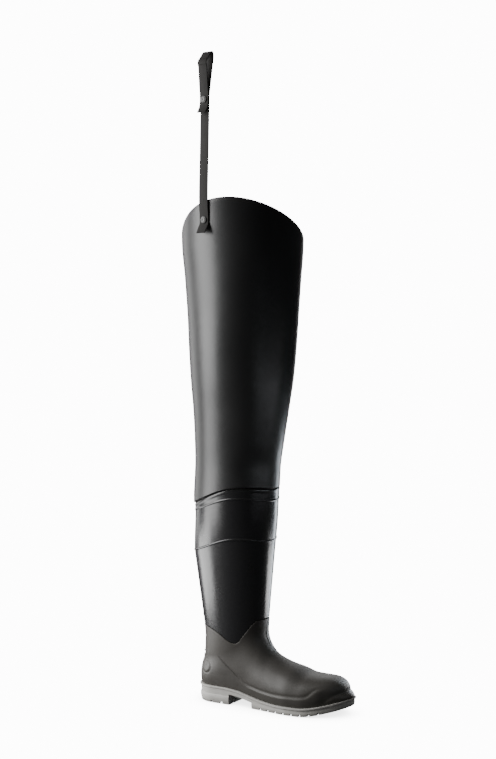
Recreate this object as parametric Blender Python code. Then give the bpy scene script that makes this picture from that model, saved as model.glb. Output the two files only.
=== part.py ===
"""A right-hand hip wader: a moulded PVC knee boot with a welded sheet thigh shaft and a belt strap.

Units are metres. +X points to the toe, +Y to the inner side of the leg, and +Z up. The boot is
worked out with its heel at X = 0 on the floor, and the last step moves the footprint's centre to
the origin. Table columns that are called shares are multiplied by the named size of their piece.
"""

import math

import bmesh
import bpy
import numpy as np
from mathutils import Matrix, Vector

# Foot and sole
SOLE_LENGTH = 0.310
BALL_WIDTH = 0.108
HEEL_HEIGHT = 0.032
BALL_THICKNESS = 0.0155
SHANK_THICKNESS = 0.011
TOE_SPRING = 0.018
HEEL_LENGTH = 0.077
ARCH_LENGTH = 0.050
TREAD_DEPTH = 0.0045
GROOVE_WIDTH = 0.0042
WELT_REACH = 0.0024
RIDGE_HEIGHT = 0.119
WALL_TUCK = 0.0040
TOE_LEAN = 0.0105
TOE_LEAN_RISE = 0.016
INSOLE_THICKNESS = 0.004

# Moulded knee boot
BOOT_HEIGHT = 0.3915
SHAFT_DEPTH = 0.163
SHAFT_WIDTH = 0.138
BOOT_WALL = 0.0030
SHELL_WALL = 0.0012
SHELL_SEAT = 0.0010
SHELL_TOP = 0.160
PANEL_RAISE = 0.0010
PANEL_SOFTNESS = 0.012
RIB_HEIGHT = 0.0018
RIB_HALF_WIDTH = 0.0030
RIM_BAND = 0.0158
RIB_DROP = 0.0909
RIB_TILT = 0.005
BOSS_RADIUS = 0.0108
BOSS_STATION = 0.083
BOSS_LEVEL = 0.0665
BOSS_HEIGHT = 0.0012
HEEL_BLEND = 0.0105
INSTEP_BLEND = 0.025

# Thigh shaft
COLLAR_HEIGHT = 0.8673
COLLAR_RISE = 0.0687
COLLAR_TURN = math.radians(-61.5)
COLLAR_DIP = 0.0061
THIGH_DIAMETER = 0.227
THIGH_WALL = 0.0020
WELD_LAP = 0.040
FLARE_HEIGHT = 0.004

# Belt strap and its two snaps
STRAP_WIDTH = 0.020
STRAP_THICKNESS = 0.0020
STRAP_STAND_OFF = 0.0020
STRAP_LEAN = 0.0060
STRAP_REACH = 0.331
STRAP_TAB = 0.024
LOOP_LENGTH = 0.088
LOOP_OPENING = 0.022
STUD_HEIGHT = COLLAR_HEIGHT + 0.0317
STUD_TURN = math.radians(-90)
SNAP_RADIUS = 0.0062
SNAP_POST_RADIUS = 0.0020
SNAP_CAP_HEIGHT = 0.0020
SNAP_WASHER = 0.0010

# Clearances
GAP = 0.0003
# Under the upper and the shell, where the sole's facets rise above the feather line
SOLE_GAP = 0.0005
POST_CLEARANCE = 0.0004
POST_REACH = 0.012
WELD_GAP = 0.0006
INSOLE_CLEARANCE = 0.0012
PRESS_GAP = 0.0009

# Fineness of the lofts
SPOKES = 48
FOOT_ROWS = 11
SOLE_STATIONS = 30
BOSS_SIDES = 12
RAY_STEPS = 150
TILTS = 220

# Where the spokes of every horizontal section meet
AXIS_X = 0.0713
AXIS_Z = 0.034

# Foot outline and ridge: station is a share of SOLE_LENGTH; inner, outer and swing are shares of
# BALL_WIDTH; ridge is a share of RIDGE_HEIGHT.
FOOT_COLUMNS = ("station", "inner", "outer", "swing", "ridge")
FOOT_SECTIONS = (
    (0.00, 0.350, 0.350, 0.000, 0.60),
    (0.12, 0.358, 0.362, 0.000, 0.78),
    (0.24, 0.350, 0.368, 0.000, 0.98),
    (0.35, 0.335, 0.375, 0.000, 1.03),
    (0.43, 0.350, 0.400, 0.000, 0.945),
    (0.50, 0.395, 0.432, 0.004, 0.817),
    (0.58, 0.450, 0.470, 0.010, 0.721),
    (0.66, 0.488, 0.498, 0.018, 0.656),
    (0.74, 0.498, 0.496, 0.030, 0.580),
    (0.82, 0.490, 0.478, 0.048, 0.566),
    (0.90, 0.475, 0.455, 0.066, 0.562),
    (1.00, 0.460, 0.440, 0.080, 0.562),
)
TOE_ROUND = 0.083
HEEL_ROUND = 0.040
NOSE_ROUND = 0.048

# Underside and feather line: station is a share of SOLE_LENGTH; heel is a share of HEEL_HEIGHT
# above the ball's thickness; spring is a share of TOE_SPRING.
SOLE_COLUMNS = ("station", "heel", "spring")
SOLE_SECTIONS = (
    (0.00, 1.00, 0.00),
    (0.20, 1.00, 0.00),
    (0.30, 0.84, 0.00),
    (0.40, 0.46, 0.00),
    (0.50, 0.14, 0.00),
    (0.60, 0.00, 0.00),
    (0.72, 0.00, 0.00),
    (0.80, 0.00, 0.14),
    (0.90, 0.00, 0.52),
    (1.00, 0.00, 1.00),
)

# Boot shaft: height is a share of BOOT_HEIGHT; back and front are shares of SHAFT_DEPTH from the
# heel; half is a share of SHAFT_WIDTH.
SHAFT_COLUMNS = ("height", "back", "front", "half")
SHAFT_SECTIONS = (
    (0.14, 0.045, 0.722, 0.262),
    (0.23, 0.049, 0.786, 0.302),
    (0.32, 0.058, 0.809, 0.330),
    (0.40, 0.034, 0.831, 0.350),
    (0.51, -0.0235, 0.837, 0.386),
    (0.64, -0.050, 0.838, 0.430),
    (0.74, -0.069, 0.888, 0.468),
    (0.90, -0.053, 0.925, 0.494),
    (1.06, -0.047, 0.939, 0.500),
)

# Thigh shaft: rise is a share of the way from BOOT_HEIGHT to COLLAR_HEIGHT; ahead, depth and
# width are shares of THIGH_DIAMETER.
THIGH_COLUMNS = ("rise", "ahead", "depth", "width")
THIGH_SECTIONS = (
    (0.000, 0.312, 0.735, 0.653),
    (0.101, 0.324, 0.730, 0.667),
    (0.213, 0.340, 0.760, 0.713),
    (0.335, 0.355, 0.808, 0.776),
    (0.456, 0.364, 0.862, 0.848),
    (0.578, 0.370, 0.897, 0.896),
    (0.710, 0.376, 0.927, 0.927),
    (0.852, 0.377, 0.968, 0.968),
    (0.974, 0.372, 1.010, 1.010),
    (1.146, 0.368, 1.030, 1.030),
)

# The boot's top line above BOOT_HEIGHT: its waves once, twice and three times round, which are at
# their full height at the front.
TOP_WAVES = (0.0193, -0.0061, -0.0017)

# Upper border of the foot shell: back is a share of SHAFT_DEPTH; level is a share of SHELL_TOP.
BORDER_COLUMNS = ("back", "level")
BORDER_SECTIONS = (
    (0.000, 0.905),
    (0.120, 0.895),
    (0.235, 0.875),
    (0.333, 0.840),
    (0.405, 0.800),
    (0.483, 0.750),
    (0.558, 0.727),
    (0.603, 0.748),
    (0.648, 0.810),
    (0.693, 0.872),
    (0.733, 0.930),
    (0.763, 0.970),
    (0.793, 0.995),
    (0.833, 1.000),
)

# Raised lower panel of the foot shell: station is a share of SOLE_LENGTH; top is a share of
# RIDGE_HEIGHT above the feather line; raised is a share of PANEL_RAISE.
PANEL_COLUMNS = ("station", "top", "raised")
PANEL_SECTIONS = (
    (0.00, 0.50, 0.0),
    (0.14, 0.49, 0.0),
    (0.31, 0.20, 0.0),
    (0.40, 0.13, 1.0),
    (0.78, 0.15, 1.0),
    (0.84, 0.24, 1.0),
    (1.00, 0.24, 1.0),
)

# Tread: station is a share of SOLE_LENGTH, and reach a share of BALL_WIDTH.
CHEVRON_STATIONS = (0.485, 0.570, 0.655, 0.740)
CHEVRON_POINT = 0.013
SIDE_GROOVE_INSET = 0.020
SIDE_GROOVE_SPAN = (0.435, 0.845)
SIDE_LUG_SPAN = (0.455, 0.835)
SIDE_LUG_COUNT = 8
SIDE_LUG_SLANT = math.radians(18)
HEEL_GROOVE_INSET = 0.017
HEEL_LUG_TURNS = tuple(math.radians(a) for a in (62, 92, 122, 158, 202, 238, 268, 298))
TOE_LUG_TURNS = (math.radians(-24), math.radians(24))


def smooth_through(knots, values, at):
    """A monotone cubic through a table's rows, flat beyond its two ends."""
    knots = np.asarray(knots, float)
    values = np.asarray(values, float)
    at = np.clip(np.asarray(at, float), knots[0], knots[-1])
    step = np.diff(knots)
    slope = np.diff(values) / step
    tangent = np.zeros_like(values)
    same_way = slope[:-1] * slope[1:] > 0
    mean = np.where(same_way, slope[:-1] + slope[1:], 1.0)
    tangent[1:-1] = np.where(same_way, 2 * slope[:-1] * slope[1:] / mean, 0.0)
    tangent[0], tangent[-1] = slope[0], slope[-1]
    row = np.clip(np.searchsorted(knots, at) - 1, 0, len(step) - 1)
    t = (at - knots[row]) / step[row]
    return (
        values[row] * (2 * t**3 - 3 * t**2 + 1)
        + values[row + 1] * (3 * t**2 - 2 * t**3)
        + tangent[row] * step[row] * (t**3 - 2 * t**2 + t)
        + tangent[row + 1] * step[row] * (t**3 - t**2)
    )


def column(table, names, name, at):
    """One named column of a table, read at the places given in shares of its first column."""
    rows = np.array(table)
    return smooth_through(rows[:, 0], rows[:, names.index(name)], at)


def ease(t):
    """0 to 1 with level ends."""
    t = np.clip(t, 0, 1)
    return t * t * (3 - 2 * t)


def rounding(depth, power=2.1):
    """1 at no depth into a rounded end, and 0 at its tip."""
    return (1 - np.clip(depth, 0, 1) ** power) ** (1 / power)


def foot_outline(x):
    """Centre line, inner and outer half widths of the foot's widest line."""
    share = x / SOLE_LENGTH
    ends = rounding((x - (SOLE_LENGTH - TOE_ROUND)) / TOE_ROUND) * rounding((HEEL_ROUND - x) / HEEL_ROUND)
    read = [BALL_WIDTH * column(FOOT_SECTIONS, FOOT_COLUMNS, n, share) for n in ("swing", "inner", "outer")]
    return read[0], read[1] * ends, read[2] * ends


def ground(x):
    """Height of the tread's underside: flat under heel and ball, rising at the toe."""
    return TOE_SPRING * column(SOLE_SECTIONS, SOLE_COLUMNS, "spring", x / SOLE_LENGTH)


def feather(x):
    """Height of the line where sole and foot meet."""
    rise = HEEL_HEIGHT - BALL_THICKNESS
    return BALL_THICKNESS + ground(x) + rise * column(SOLE_SECTIONS, SOLE_COLUMNS, "heel", x / SOLE_LENGTH)


def foot_form(x, y, z):
    """Below zero inside the foot, in metres from its surface, roughly."""
    foot_line = feather(x)
    near_toe = ease((x - (SOLE_LENGTH - NOSE_ROUND)) / NOSE_ROUND)
    forward = x + TOE_LEAN * near_toe * ease((z - foot_line) / TOE_LEAN_RISE)
    middle, inner, outer = foot_outline(forward)
    half = np.maximum(np.where(y > middle, inner, outer), 1e-4)
    ridge = RIDGE_HEIGHT * column(FOOT_SECTIONS, FOOT_COLUMNS, "ridge", x / SOLE_LENGTH)
    widest = foot_line + 0.34 * (ridge - foot_line)
    nose = rounding((forward - (SOLE_LENGTH - NOSE_ROUND)) / NOSE_ROUND)
    top = widest + np.maximum((ridge - widest) * nose, 1e-4)
    below = np.clip((widest - z) / (widest - foot_line), 0, 1)
    half = np.maximum(half - WALL_TUCK * below**2, 1e-4)
    above = np.clip((z - widest) / (top - widest), 0, None)
    squareness = 2.05 + 0.55 * ease((x / SOLE_LENGTH - 0.55) / 0.3)
    reach = ((np.abs(y - middle) / half) ** squareness + above**squareness) ** (1 / squareness)
    return (reach - 1) * np.minimum(half, 0.05)


def shaft_form(x, y, z):
    """Below zero inside the boot's shaft, in metres from its surface, roughly."""
    share = z / BOOT_HEIGHT
    back = SHAFT_DEPTH * column(SHAFT_SECTIONS, SHAFT_COLUMNS, "back", share)
    front = SHAFT_DEPTH * column(SHAFT_SECTIONS, SHAFT_COLUMNS, "front", share)
    half = SHAFT_WIDTH * column(SHAFT_SECTIONS, SHAFT_COLUMNS, "half", share)
    depth = (front - back) / 2
    reach = ((np.abs(x - (front + back) / 2) / depth) ** 2.15 + (np.abs(y) / half) ** 2.15) ** (1 / 2.15)
    return (reach - 1) * half


def boot_form(x, y, z):
    """Foot and shaft joined with a fillet that is wide at the instep and tight at the heel."""
    foot = foot_form(x, y, z)
    shaft = shaft_form(x, y, z)
    fillet = HEEL_BLEND + (INSTEP_BLEND - HEEL_BLEND) * ease((x - AXIS_X) / (0.4 * SHAFT_DEPTH))
    mix = np.clip(0.5 + 0.5 * (shaft - foot) / fillet, 0, 1)
    return shaft + (foot - shaft) * mix - fillet * mix * (1 - mix)


def thigh_form(x, y, z):
    """Below zero inside the thigh shaft."""
    share = (z - BOOT_HEIGHT) / (COLLAR_HEIGHT - BOOT_HEIGHT)
    ahead, depth, width = (
        THIGH_DIAMETER * column(THIGH_SECTIONS, THIGH_COLUMNS, n, share) for n in ("ahead", "depth", "width")
    )
    return (np.sqrt(((x - ahead) / (depth / 2)) ** 2 + (y / (width / 2)) ** 2) - 1) * width / 2


def surface_hits(form, origins, directions, reach):
    """Where rays that come in from outside first meet a form. Arrays of points and unit directions."""
    distances = np.linspace(reach, 0.0, RAY_STEPS)
    outside = np.full(len(origins), reach)
    inside = np.zeros(len(origins))
    open_rays = np.ones(len(origins), bool)
    for last, here in zip(distances[:-1], distances[1:]):
        p = origins + directions * here
        hit = open_rays & (form(p[:, 0], p[:, 1], p[:, 2]) < 0)
        outside[hit], inside[hit] = last, here
        open_rays &= ~hit
    for _ in range(22):
        half = (outside + inside) / 2
        p = origins + directions * half[:, None]
        within = form(p[:, 0], p[:, 1], p[:, 2]) < 0
        inside = np.where(within, half, inside)
        outside = np.where(within, outside, half)
    return origins + directions * inside[:, None]


def spoke_angles():
    """Directions of the spokes: close together at toe and heel, where the outline turns."""
    stations = SOLE_LENGTH * (1 - np.cos(np.linspace(0, math.pi, 400))) / 2
    middle, inner, outer = foot_outline(stations)
    x = np.concatenate([stations[::-1], stations[1:]])
    y = np.concatenate([(middle + inner)[::-1], (middle - outer)[1:]])
    along = np.concatenate([[0], np.cumsum(np.hypot(np.diff(x), np.diff(y)))])
    around = np.unwrap(np.arctan2(y, x - AXIS_X))
    around -= around[0]
    turning = np.unwrap(np.arctan2(np.gradient(y), np.gradient(x)))
    spread = sum(w * (m - m[0]) / (m[-1] - m[0]) for w, m in ((0.46, along), (0.44, around), (0.1, turning)))
    return np.interp(np.arange(SPOKES) / SPOKES, spread, around)


def boot_top(angle):
    """Scalloped top line of the knee boot: high at both sides, low at front and back."""
    return BOOT_HEIGHT + sum(wave * np.cos((k + 1) * angle) for k, wave in enumerate(TOP_WAVES))


def below_top(drop, angle):
    """A line under the boot's top line, a little farther down at the front than at the back."""
    return boot_top(angle) - drop - RIB_TILT * min(drop / RIM_BAND, 1) * np.cos(angle)


def collar_line(angle):
    """Slanted top line of the thigh shaft, highest on the outer side."""
    return COLLAR_HEIGHT + COLLAR_RISE * np.cos(angle - COLLAR_TURN) - COLLAR_DIP * np.cos(2 * angle)


def shell_top(x):
    """Upper border of the foot shell: high at shin and heel, with a point below each ankle."""
    return SHELL_TOP * column(BORDER_SECTIONS, BORDER_COLUMNS, "level", x / SHAFT_DEPTH)


class Meridians:
    """The boot's surface as one fine curve for each spoke, from the feather line upwards."""

    def __init__(self):
        self.angles = spoke_angles()
        tilts = np.radians(np.linspace(-24, 82, TILTS))
        a, t = (m.ravel() for m in np.meshgrid(self.angles, tilts, indexing="ij"))
        directions = np.stack([np.cos(a) * np.cos(t), np.sin(a) * np.cos(t), np.sin(t)], axis=1)
        origins = np.tile([AXIS_X, 0.0, AXIS_Z], (len(a), 1))
        hits = surface_hits(boot_form, origins, directions, 1.25 * (BOOT_HEIGHT + SHAFT_DEPTH))
        self.curves = hits.reshape(SPOKES, TILTS, 3)
        steps = np.linalg.norm(np.diff(self.curves, axis=1), axis=2)
        self.along = np.concatenate([np.zeros((SPOKES, 1)), np.cumsum(steps, axis=1)], axis=1)

    def crossing(self, level):
        """Distance along each curve to where it first rises through a level, a function of x, angle."""
        found = []
        for angle, curve, along in zip(self.angles, self.curves, self.along):
            height = curve[:, 2] - level(curve[:, 0], angle)
            first = int(np.argmax(height > 0))
            share = height[first - 1] / (height[first - 1] - height[first])
            found.append(along[first - 1] + share * (along[first] - along[first - 1]))
        return np.array(found)

    def row(self, distances):
        """The ring of points at those distances, one for each spoke."""
        return np.array(
            [
                [np.interp(d, along, curve[:, i]) for i in range(3)]
                for d, along, curve in zip(distances, self.along, self.curves)
            ]
        )


def ring_normals(rows):
    """Outward unit normals of a stack of rings."""
    rows = np.array(rows)
    around = np.roll(rows, -1, axis=1) - np.roll(rows, 1, axis=1)
    up = np.gradient(rows, axis=0)
    normal = np.cross(around, up)
    return normal / np.linalg.norm(normal, axis=2, keepdims=True)


def proud(rows, normals, amount):
    """Rings moved out along their normals."""
    return [row + normal * amount for row, normal in zip(rows, normals)]


def finished(name, bm, material, smooth_angle=math.radians(35)):
    """An object made from a bmesh whose faces are turned outwards."""
    bmesh.ops.recalc_face_normals(bm, faces=bm.faces)
    mesh = bpy.data.meshes.new(name)
    bm.to_mesh(mesh)
    bm.free()
    mesh.materials.append(material)
    mesh.shade_smooth()
    mesh.set_sharp_from_angle(angle=smooth_angle)
    obj = bpy.data.objects.new(name, mesh)
    bpy.context.scene.collection.objects.link(obj)
    return obj


def lofted(bm, low, high):
    """Joins two rings of vertices, with the diagonals of all lofts running the same way up."""
    count = len(low)
    for i in range(count):
        j = (i + 1) % count
        bm.faces.new((low[i], low[j], high[j]))
        bm.faces.new((low[i], high[j], high[i]))


def hollow_wall(name, outer, inner, material):
    """A closed wall between an outer and an inner stack of rings, both listed from the bottom up."""
    bm = bmesh.new()
    outside, inside = ([[bm.verts.new(p) for p in ring] for ring in stack] for stack in (outer, inner))
    for stack in (outside, inside):
        for low, high in zip(stack, stack[1:]):
            lofted(bm, low, high)
    lofted(bm, inside[0], outside[0])
    lofted(bm, inside[-1], outside[-1])
    return finished(name, bm, material)


def knee_boot(meridians, material):
    """The moulded boot, open at its top and under the foot, with the seat for the foot shell."""
    low = meridians.crossing(lambda x, a: feather(x) + SOLE_GAP)
    border = meridians.crossing(lambda x, a: shell_top(x))
    shares = (np.arange(FOOT_ROWS + 1) / FOOT_ROWS) ** 1.25
    foot = [meridians.row(low + (border - low) * s) for s in shares]
    top_line = {
        drop: meridians.crossing(lambda x, a, d=drop: below_top(d, a))
        for drop in (
            RIB_DROP + RIB_HALF_WIDTH, RIB_DROP, RIB_DROP - RIB_HALF_WIDTH, 0.5 * (RIB_DROP + RIM_BAND),
            WELD_LAP, RIM_BAND + RIB_HALF_WIDTH, RIM_BAND, RIM_BAND - RIB_HALF_WIDTH,
            RIB_HALF_WIDTH, 0.0,
        )
    }
    first_rib = top_line[RIB_DROP + RIB_HALF_WIDTH]
    shaft = [meridians.row(border + (first_rib - border) * s) for s in (0.03, 0.22, 0.55, 1.0)]
    upper_drops = [d for d in top_line if d not in (RIB_DROP + RIB_HALF_WIDTH, WELD_LAP)]
    upper = [meridians.row(top_line[d]) for d in upper_drops]
    rows = foot + shaft + upper
    normals = ring_normals(rows)
    rib_rows = {len(foot) + len(shaft) + upper_drops.index(d) for d in (RIB_DROP, RIM_BAND, RIB_HALF_WIDTH)}
    outer = [
        row + normal * (-SHELL_SEAT if k < len(foot) else RIB_HEIGHT if k in rib_rows else 0.0)
        for k, (row, normal) in enumerate(zip(rows, normals))
    ]
    lap_rows = [meridians.row(top_line[d]) for d in (WELD_LAP, RIM_BAND, 0.0)]
    inner_rows = foot + [shaft[1], shaft[2], upper[1]] + lap_rows
    inner = proud(inner_rows, ring_normals(inner_rows), -BOOT_WALL)
    inner[0][:, 2] = outer[0][:, 2]
    inner[-1][:, 2] = outer[-1][:, 2]
    obj = hollow_wall("upper", outer, inner, material)
    return obj, foot, normals[: len(foot)], inner[-3:]


def foot_shell(foot, normals, material):
    """The second, matt shot of PVC over foot and ankle, with its raised lower panel."""
    lift = GAP - SHELL_SEAT
    inner = proud(foot, normals, lift)
    inner[-1] = inner[-1] + (inner[-2] - inner[-1]) * 0.06
    outer = []
    for row, normal in zip(foot, normals):
        share = row[:, 0] / SOLE_LENGTH
        top, raised = (column(PANEL_SECTIONS, PANEL_COLUMNS, n, share) for n in ("top", "raised"))
        above = row[:, 2] - feather(row[:, 0]) - RIDGE_HEIGHT * top
        raised = PANEL_RAISE * raised * ease(0.5 - above / PANEL_SOFTNESS)
        outer.append(row + normal * (lift + SHELL_WALL + raised)[:, None])
    outer[-1] = outer[-1] + (outer[-2] - outer[-1]) * 0.06
    for ring in (outer[0], inner[0]):
        ring[:, 2] = feather(ring[:, 0]) + SOLE_GAP
    shell = hollow_wall("foot_shell", outer, inner, material)
    for name, side in (("outer_boss", -1), ("inner_boss", 1)):
        add_on(shell, name, heel_boss(side, lift + SHELL_WALL))
    return shell


def heel_boss(side, skin):
    """A round raised pad that follows the heel's side. skin is the shell's height above the surface."""
    bm = bmesh.new()
    middle = np.array([BOSS_STATION * SOLE_LENGTH, BOSS_LEVEL])
    layers = []
    for lift in (skin - 0.5 * SHELL_WALL, skin + BOSS_HEIGHT):
        rings = []
        for radius in (0.55 * BOSS_RADIUS, BOSS_RADIUS):
            turns = np.arange(BOSS_SIDES) * 2 * math.pi / BOSS_SIDES
            rings.append(middle + radius * np.stack([np.cos(turns), np.sin(turns)], axis=1))
        spots = np.concatenate([[middle], *rings])
        origins = np.stack([spots[:, 0], np.zeros(len(spots)), spots[:, 1]], axis=1)
        sideways = np.tile([0.0, side, 0.0], (len(spots), 1))
        places = surface_hits(boot_form, origins, sideways, BALL_WIDTH) + sideways * lift
        verts = [bm.verts.new(p) for p in places]
        centre, near, rim = verts[0], verts[1 : BOSS_SIDES + 1], verts[BOSS_SIDES + 1 :]
        for i in range(BOSS_SIDES):
            bm.faces.new((centre, near[i], near[(i + 1) % BOSS_SIDES]))
        lofted(bm, near, rim)
        layers.append(rim)
    lofted(bm, *layers)
    return bm


def thigh_shaft(meridians, lap, material):
    """The welded sheet tube, which starts inside the boot's top and ends at the slanted collar."""
    angles = meridians.angles
    spokes = np.stack([np.cos(angles), np.sin(angles), np.zeros(SPOKES)], axis=1)

    def free_row(height):
        origins = np.stack([np.full(SPOKES, AXIS_X), np.zeros(SPOKES), height], axis=1)
        return surface_hits(thigh_form, origins, spokes, 1.2 * THIGH_DIAMETER)

    inward = (lap[1] - lap[1].mean(axis=0)) * [1, 1, 0]
    inward /= np.linalg.norm(inward, axis=1, keepdims=True)
    outer = [row - inward * WELD_GAP for row in lap]
    mouth = outer[-1].copy()
    start = boot_top(angles)
    rise = collar_line(angles) - start
    for share in (0.012, 0.03, 0.12, 0.25, 0.40, 0.60, 0.83, 1.0):
        row = free_row(start + rise * share)
        blend = ease(rise * share / FLARE_HEIGHT)[:, None]
        neck = mouth * [1, 1, 0] + row * [0, 0, 1]
        outer.append(neck * (1 - blend) + row * blend)
    wall = ring_normals(outer) * [1, 1, 0]
    wall /= np.linalg.norm(wall, axis=2, keepdims=True)
    inner = [row - normal * THIGH_WALL for row, normal in zip(outer, wall)]
    thinned = [k for k in range(len(outer)) if k not in (3, 6)]
    return hollow_wall("thigh_shaft", outer, [inner[k] for k in thinned], material)


def sole_outline(reach):
    """Two rows of points, inner and outer side, heel to toe, the given distance outside the foot."""
    x = SOLE_LENGTH * (1 - np.cos(np.linspace(0, math.pi, SOLE_STATIONS))) / 2
    middle, inner, outer = foot_outline(x)
    loop = np.concatenate(
        [np.stack([x, middle - outer], axis=1), np.stack([x, middle + inner], axis=1)[-2:0:-1]]
    )
    tangent = np.roll(loop, -1, axis=0) - np.roll(loop, 1, axis=0)
    normal = np.stack([tangent[:, 1], -tangent[:, 0]], axis=1)
    normal /= np.linalg.norm(normal, axis=1, keepdims=True)
    return loop + normal * reach


def capped_sole(rings, material, name):
    """A solid from a stack of outline rings, closed above and below by strips across the foot."""
    bm = bmesh.new()
    levels = [[bm.verts.new(p) for p in ring] for ring in rings]
    for high, low in zip(levels, levels[1:]):
        lofted(bm, low, high)
    for ring in (levels[0], levels[-1]):
        left, right = ring[:SOLE_STATIONS], [ring[0]] + ring[: SOLE_STATIONS - 2 : -1]
        for i in range(SOLE_STATIONS - 1):
            corners = [left[i], left[i + 1], right[i + 1], right[i]]
            bm.faces.new(list(dict.fromkeys(corners)))
    return finished(name, bm, material)


def outsole(material):
    """The moulded sole and heel in one piece, with welt, side step, arch and main lugs."""
    steps = (
        (WELT_REACH, 1.0, 0.0),
        (WELT_REACH, 1.0, -0.0026),
        (0.0003, 1.0, -0.0040),
        (0.0000, 0.54, 0.0),
        (0.0011, 0.48, 0.0),
        (0.0006, 0.08, 0.0),
        (-0.0010, 0.0, 0.0),
    )
    rings = []
    for reach, share, drop in steps:
        loop = sole_outline(reach)
        along = np.clip(loop[:, 0], 0, SOLE_LENGTH)
        low = ground(along)
        rings.append(np.column_stack([loop, low + (feather(along) - low) * share + drop]))
    sole = capped_sole(rings, material, "outsole")
    cut_away(sole, "arch_cutter", arch_cutter())
    cut_away(sole, "side_groove_cutter", side_groove_cutter())
    cut_away(sole, "chevron_cutter", chevron_cutter())
    cut_away(sole, "lug_cutter", lug_cutter())
    return sole


def combine(target, name, bm, operation):
    """A Boolean on an object with a closed bmesh, which is kept as a hidden guide."""
    guide = finished(name, bm, target.data.materials[0])
    guide.hide_render = True
    guide.hide_set(True)
    guide.display_type = "WIRE"
    boolean = target.modifiers.new(name, "BOOLEAN")
    boolean.operation = operation
    boolean.object = guide
    boolean.solver = "EXACT"


def cut_away(target, name, bm):
    """Subtracts a closed bmesh from an object."""
    combine(target, name, bm, "DIFFERENCE")


def add_on(target, name, bm):
    """Joins a closed bmesh to an object."""
    combine(target, name, bm, "UNION")


def prism(bm, outline, low, high):
    """A closed block on a plan outline. low and high are one height, or one for each corner."""
    low = np.broadcast_to(low, len(outline))
    high = np.broadcast_to(high, len(outline))
    floor = [bm.verts.new((p[0], p[1], z)) for p, z in zip(outline, low)]
    roof = [bm.verts.new((p[0], p[1], z)) for p, z in zip(outline, high)]
    count = len(outline)
    for i in range(count):
        j = (i + 1) % count
        bm.faces.new((floor[i], floor[j], roof[j], roof[i]))
    return floor, roof


def ribbon(bm, path, width, depth):
    """A groove cutter of even width along a plan path, reaching depth above the tread."""
    path = np.array(path)
    tangent = np.gradient(path, axis=0)
    side = np.stack([-tangent[:, 1], tangent[:, 0]], axis=1)
    side *= width / 2 / np.linalg.norm(side, axis=1, keepdims=True)
    outline = np.concatenate([path + side, (path - side)[::-1]])
    roof_height = ground(np.clip(outline[:, 0], 0, SOLE_LENGTH)) + depth
    floor, roof = prism(bm, outline, -0.02, roof_height)
    count = len(path)
    for ring in (floor, roof):
        for i in range(count - 1):
            bm.faces.new((ring[i], ring[i + 1], ring[-2 - i], ring[-1 - i]))


def arch_cutter():
    """The hollow between heel breast and forefoot, under the shank."""
    bm = bmesh.new()
    start, end = HEEL_LENGTH, HEEL_LENGTH + ARCH_LENGTH
    xs = np.linspace(start, end, 6)
    roof = [(x, float(feather(x)) - SHANK_THICKNESS) for x in xs]
    profile = [(start, -0.02)] + roof + [(end + 0.002, -0.02)]
    near = [bm.verts.new((x, -BALL_WIDTH, z)) for x, z in profile]
    far = [bm.verts.new((x, BALL_WIDTH, z)) for x, z in profile]
    for i in range(len(profile)):
        j = (i + 1) % len(profile)
        bm.faces.new((near[i], near[j], far[j], far[i]))
    bm.faces.new(near)
    bm.faces.new(far)
    return bm


def inset_point(share, side, inset):
    """A plan point inside the sole's edge. side is 1 for the inner edge and -1 for the outer one."""
    x = share * SOLE_LENGTH
    middle, inner, outer = (float(v) for v in foot_outline(np.array(x)))
    return np.array([x, middle + (inner - inset if side > 0 else -(outer - inset))])


def side_groove_cutter():
    """Two long grooves under the forefoot, and the U-shaped one under the heel."""
    bm = bmesh.new()
    for side in (1, -1):
        shares = np.linspace(*SIDE_GROOVE_SPAN, 9)
        ribbon(bm, [inset_point(s, side, SIDE_GROOVE_INSET) for s in shares], GROOVE_WIDTH, TREAD_DEPTH)
    radius = 0.36 * BALL_WIDTH - HEEL_GROOVE_INSET
    centre = HEEL_ROUND
    straight = HEEL_LENGTH + 0.004
    turns = np.linspace(-math.pi / 2, math.pi / 2, 9)
    bend = [(centre - radius * math.cos(t), radius * math.sin(t)) for t in turns]
    ribbon(bm, [(straight, -radius)] + bend + [(straight, radius)], GROOVE_WIDTH, TREAD_DEPTH)
    return bm


def chevron_cutter():
    """The arrow grooves between the two long ones, pointing to the toe."""
    bm = bmesh.new()
    for share in CHEVRON_STATIONS:
        inner, outer = (inset_point(share, side, SIDE_GROOVE_INSET - 0.001) for side in (1, -1))
        tip = (inner + outer) / 2 + [CHEVRON_POINT, 0]
        ribbon(bm, [outer, tip, inner], GROOVE_WIDTH, TREAD_DEPTH)
    return bm


def spoke_groove(bm, start, end):
    """A straight groove between two plan points."""
    ribbon(bm, [start, end], GROOVE_WIDTH, TREAD_DEPTH)


def lug_cutter():
    """The gaps between the edge lugs of forefoot, toe and heel."""
    bm = bmesh.new()
    for side in (1, -1):
        for share in np.linspace(*SIDE_LUG_SPAN, SIDE_LUG_COUNT):
            inside = inset_point(share, side, SIDE_GROOVE_INSET - 0.003)
            outside = inset_point(share, side, -0.006)
            outside[0] += (outside[1] - inside[1]) * side * math.tan(SIDE_LUG_SLANT)
            spoke_groove(bm, inside, outside)
    toe = inset_point(0.84, 1, 0.052)
    for turn in TOE_LUG_TURNS:
        ray = np.array([math.cos(turn), math.sin(turn)])
        spoke_groove(bm, toe + ray * 0.012, toe + ray * 0.07)
    heel = np.array([HEEL_ROUND, 0.0])
    inner_reach = 0.36 * BALL_WIDTH - HEEL_GROOVE_INSET + 0.003
    for turn in HEEL_LUG_TURNS:
        ray = np.array([math.cos(turn), math.sin(turn)])
        spoke_groove(bm, heel + ray * inner_reach, heel + ray * 0.052)
    return bm


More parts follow.
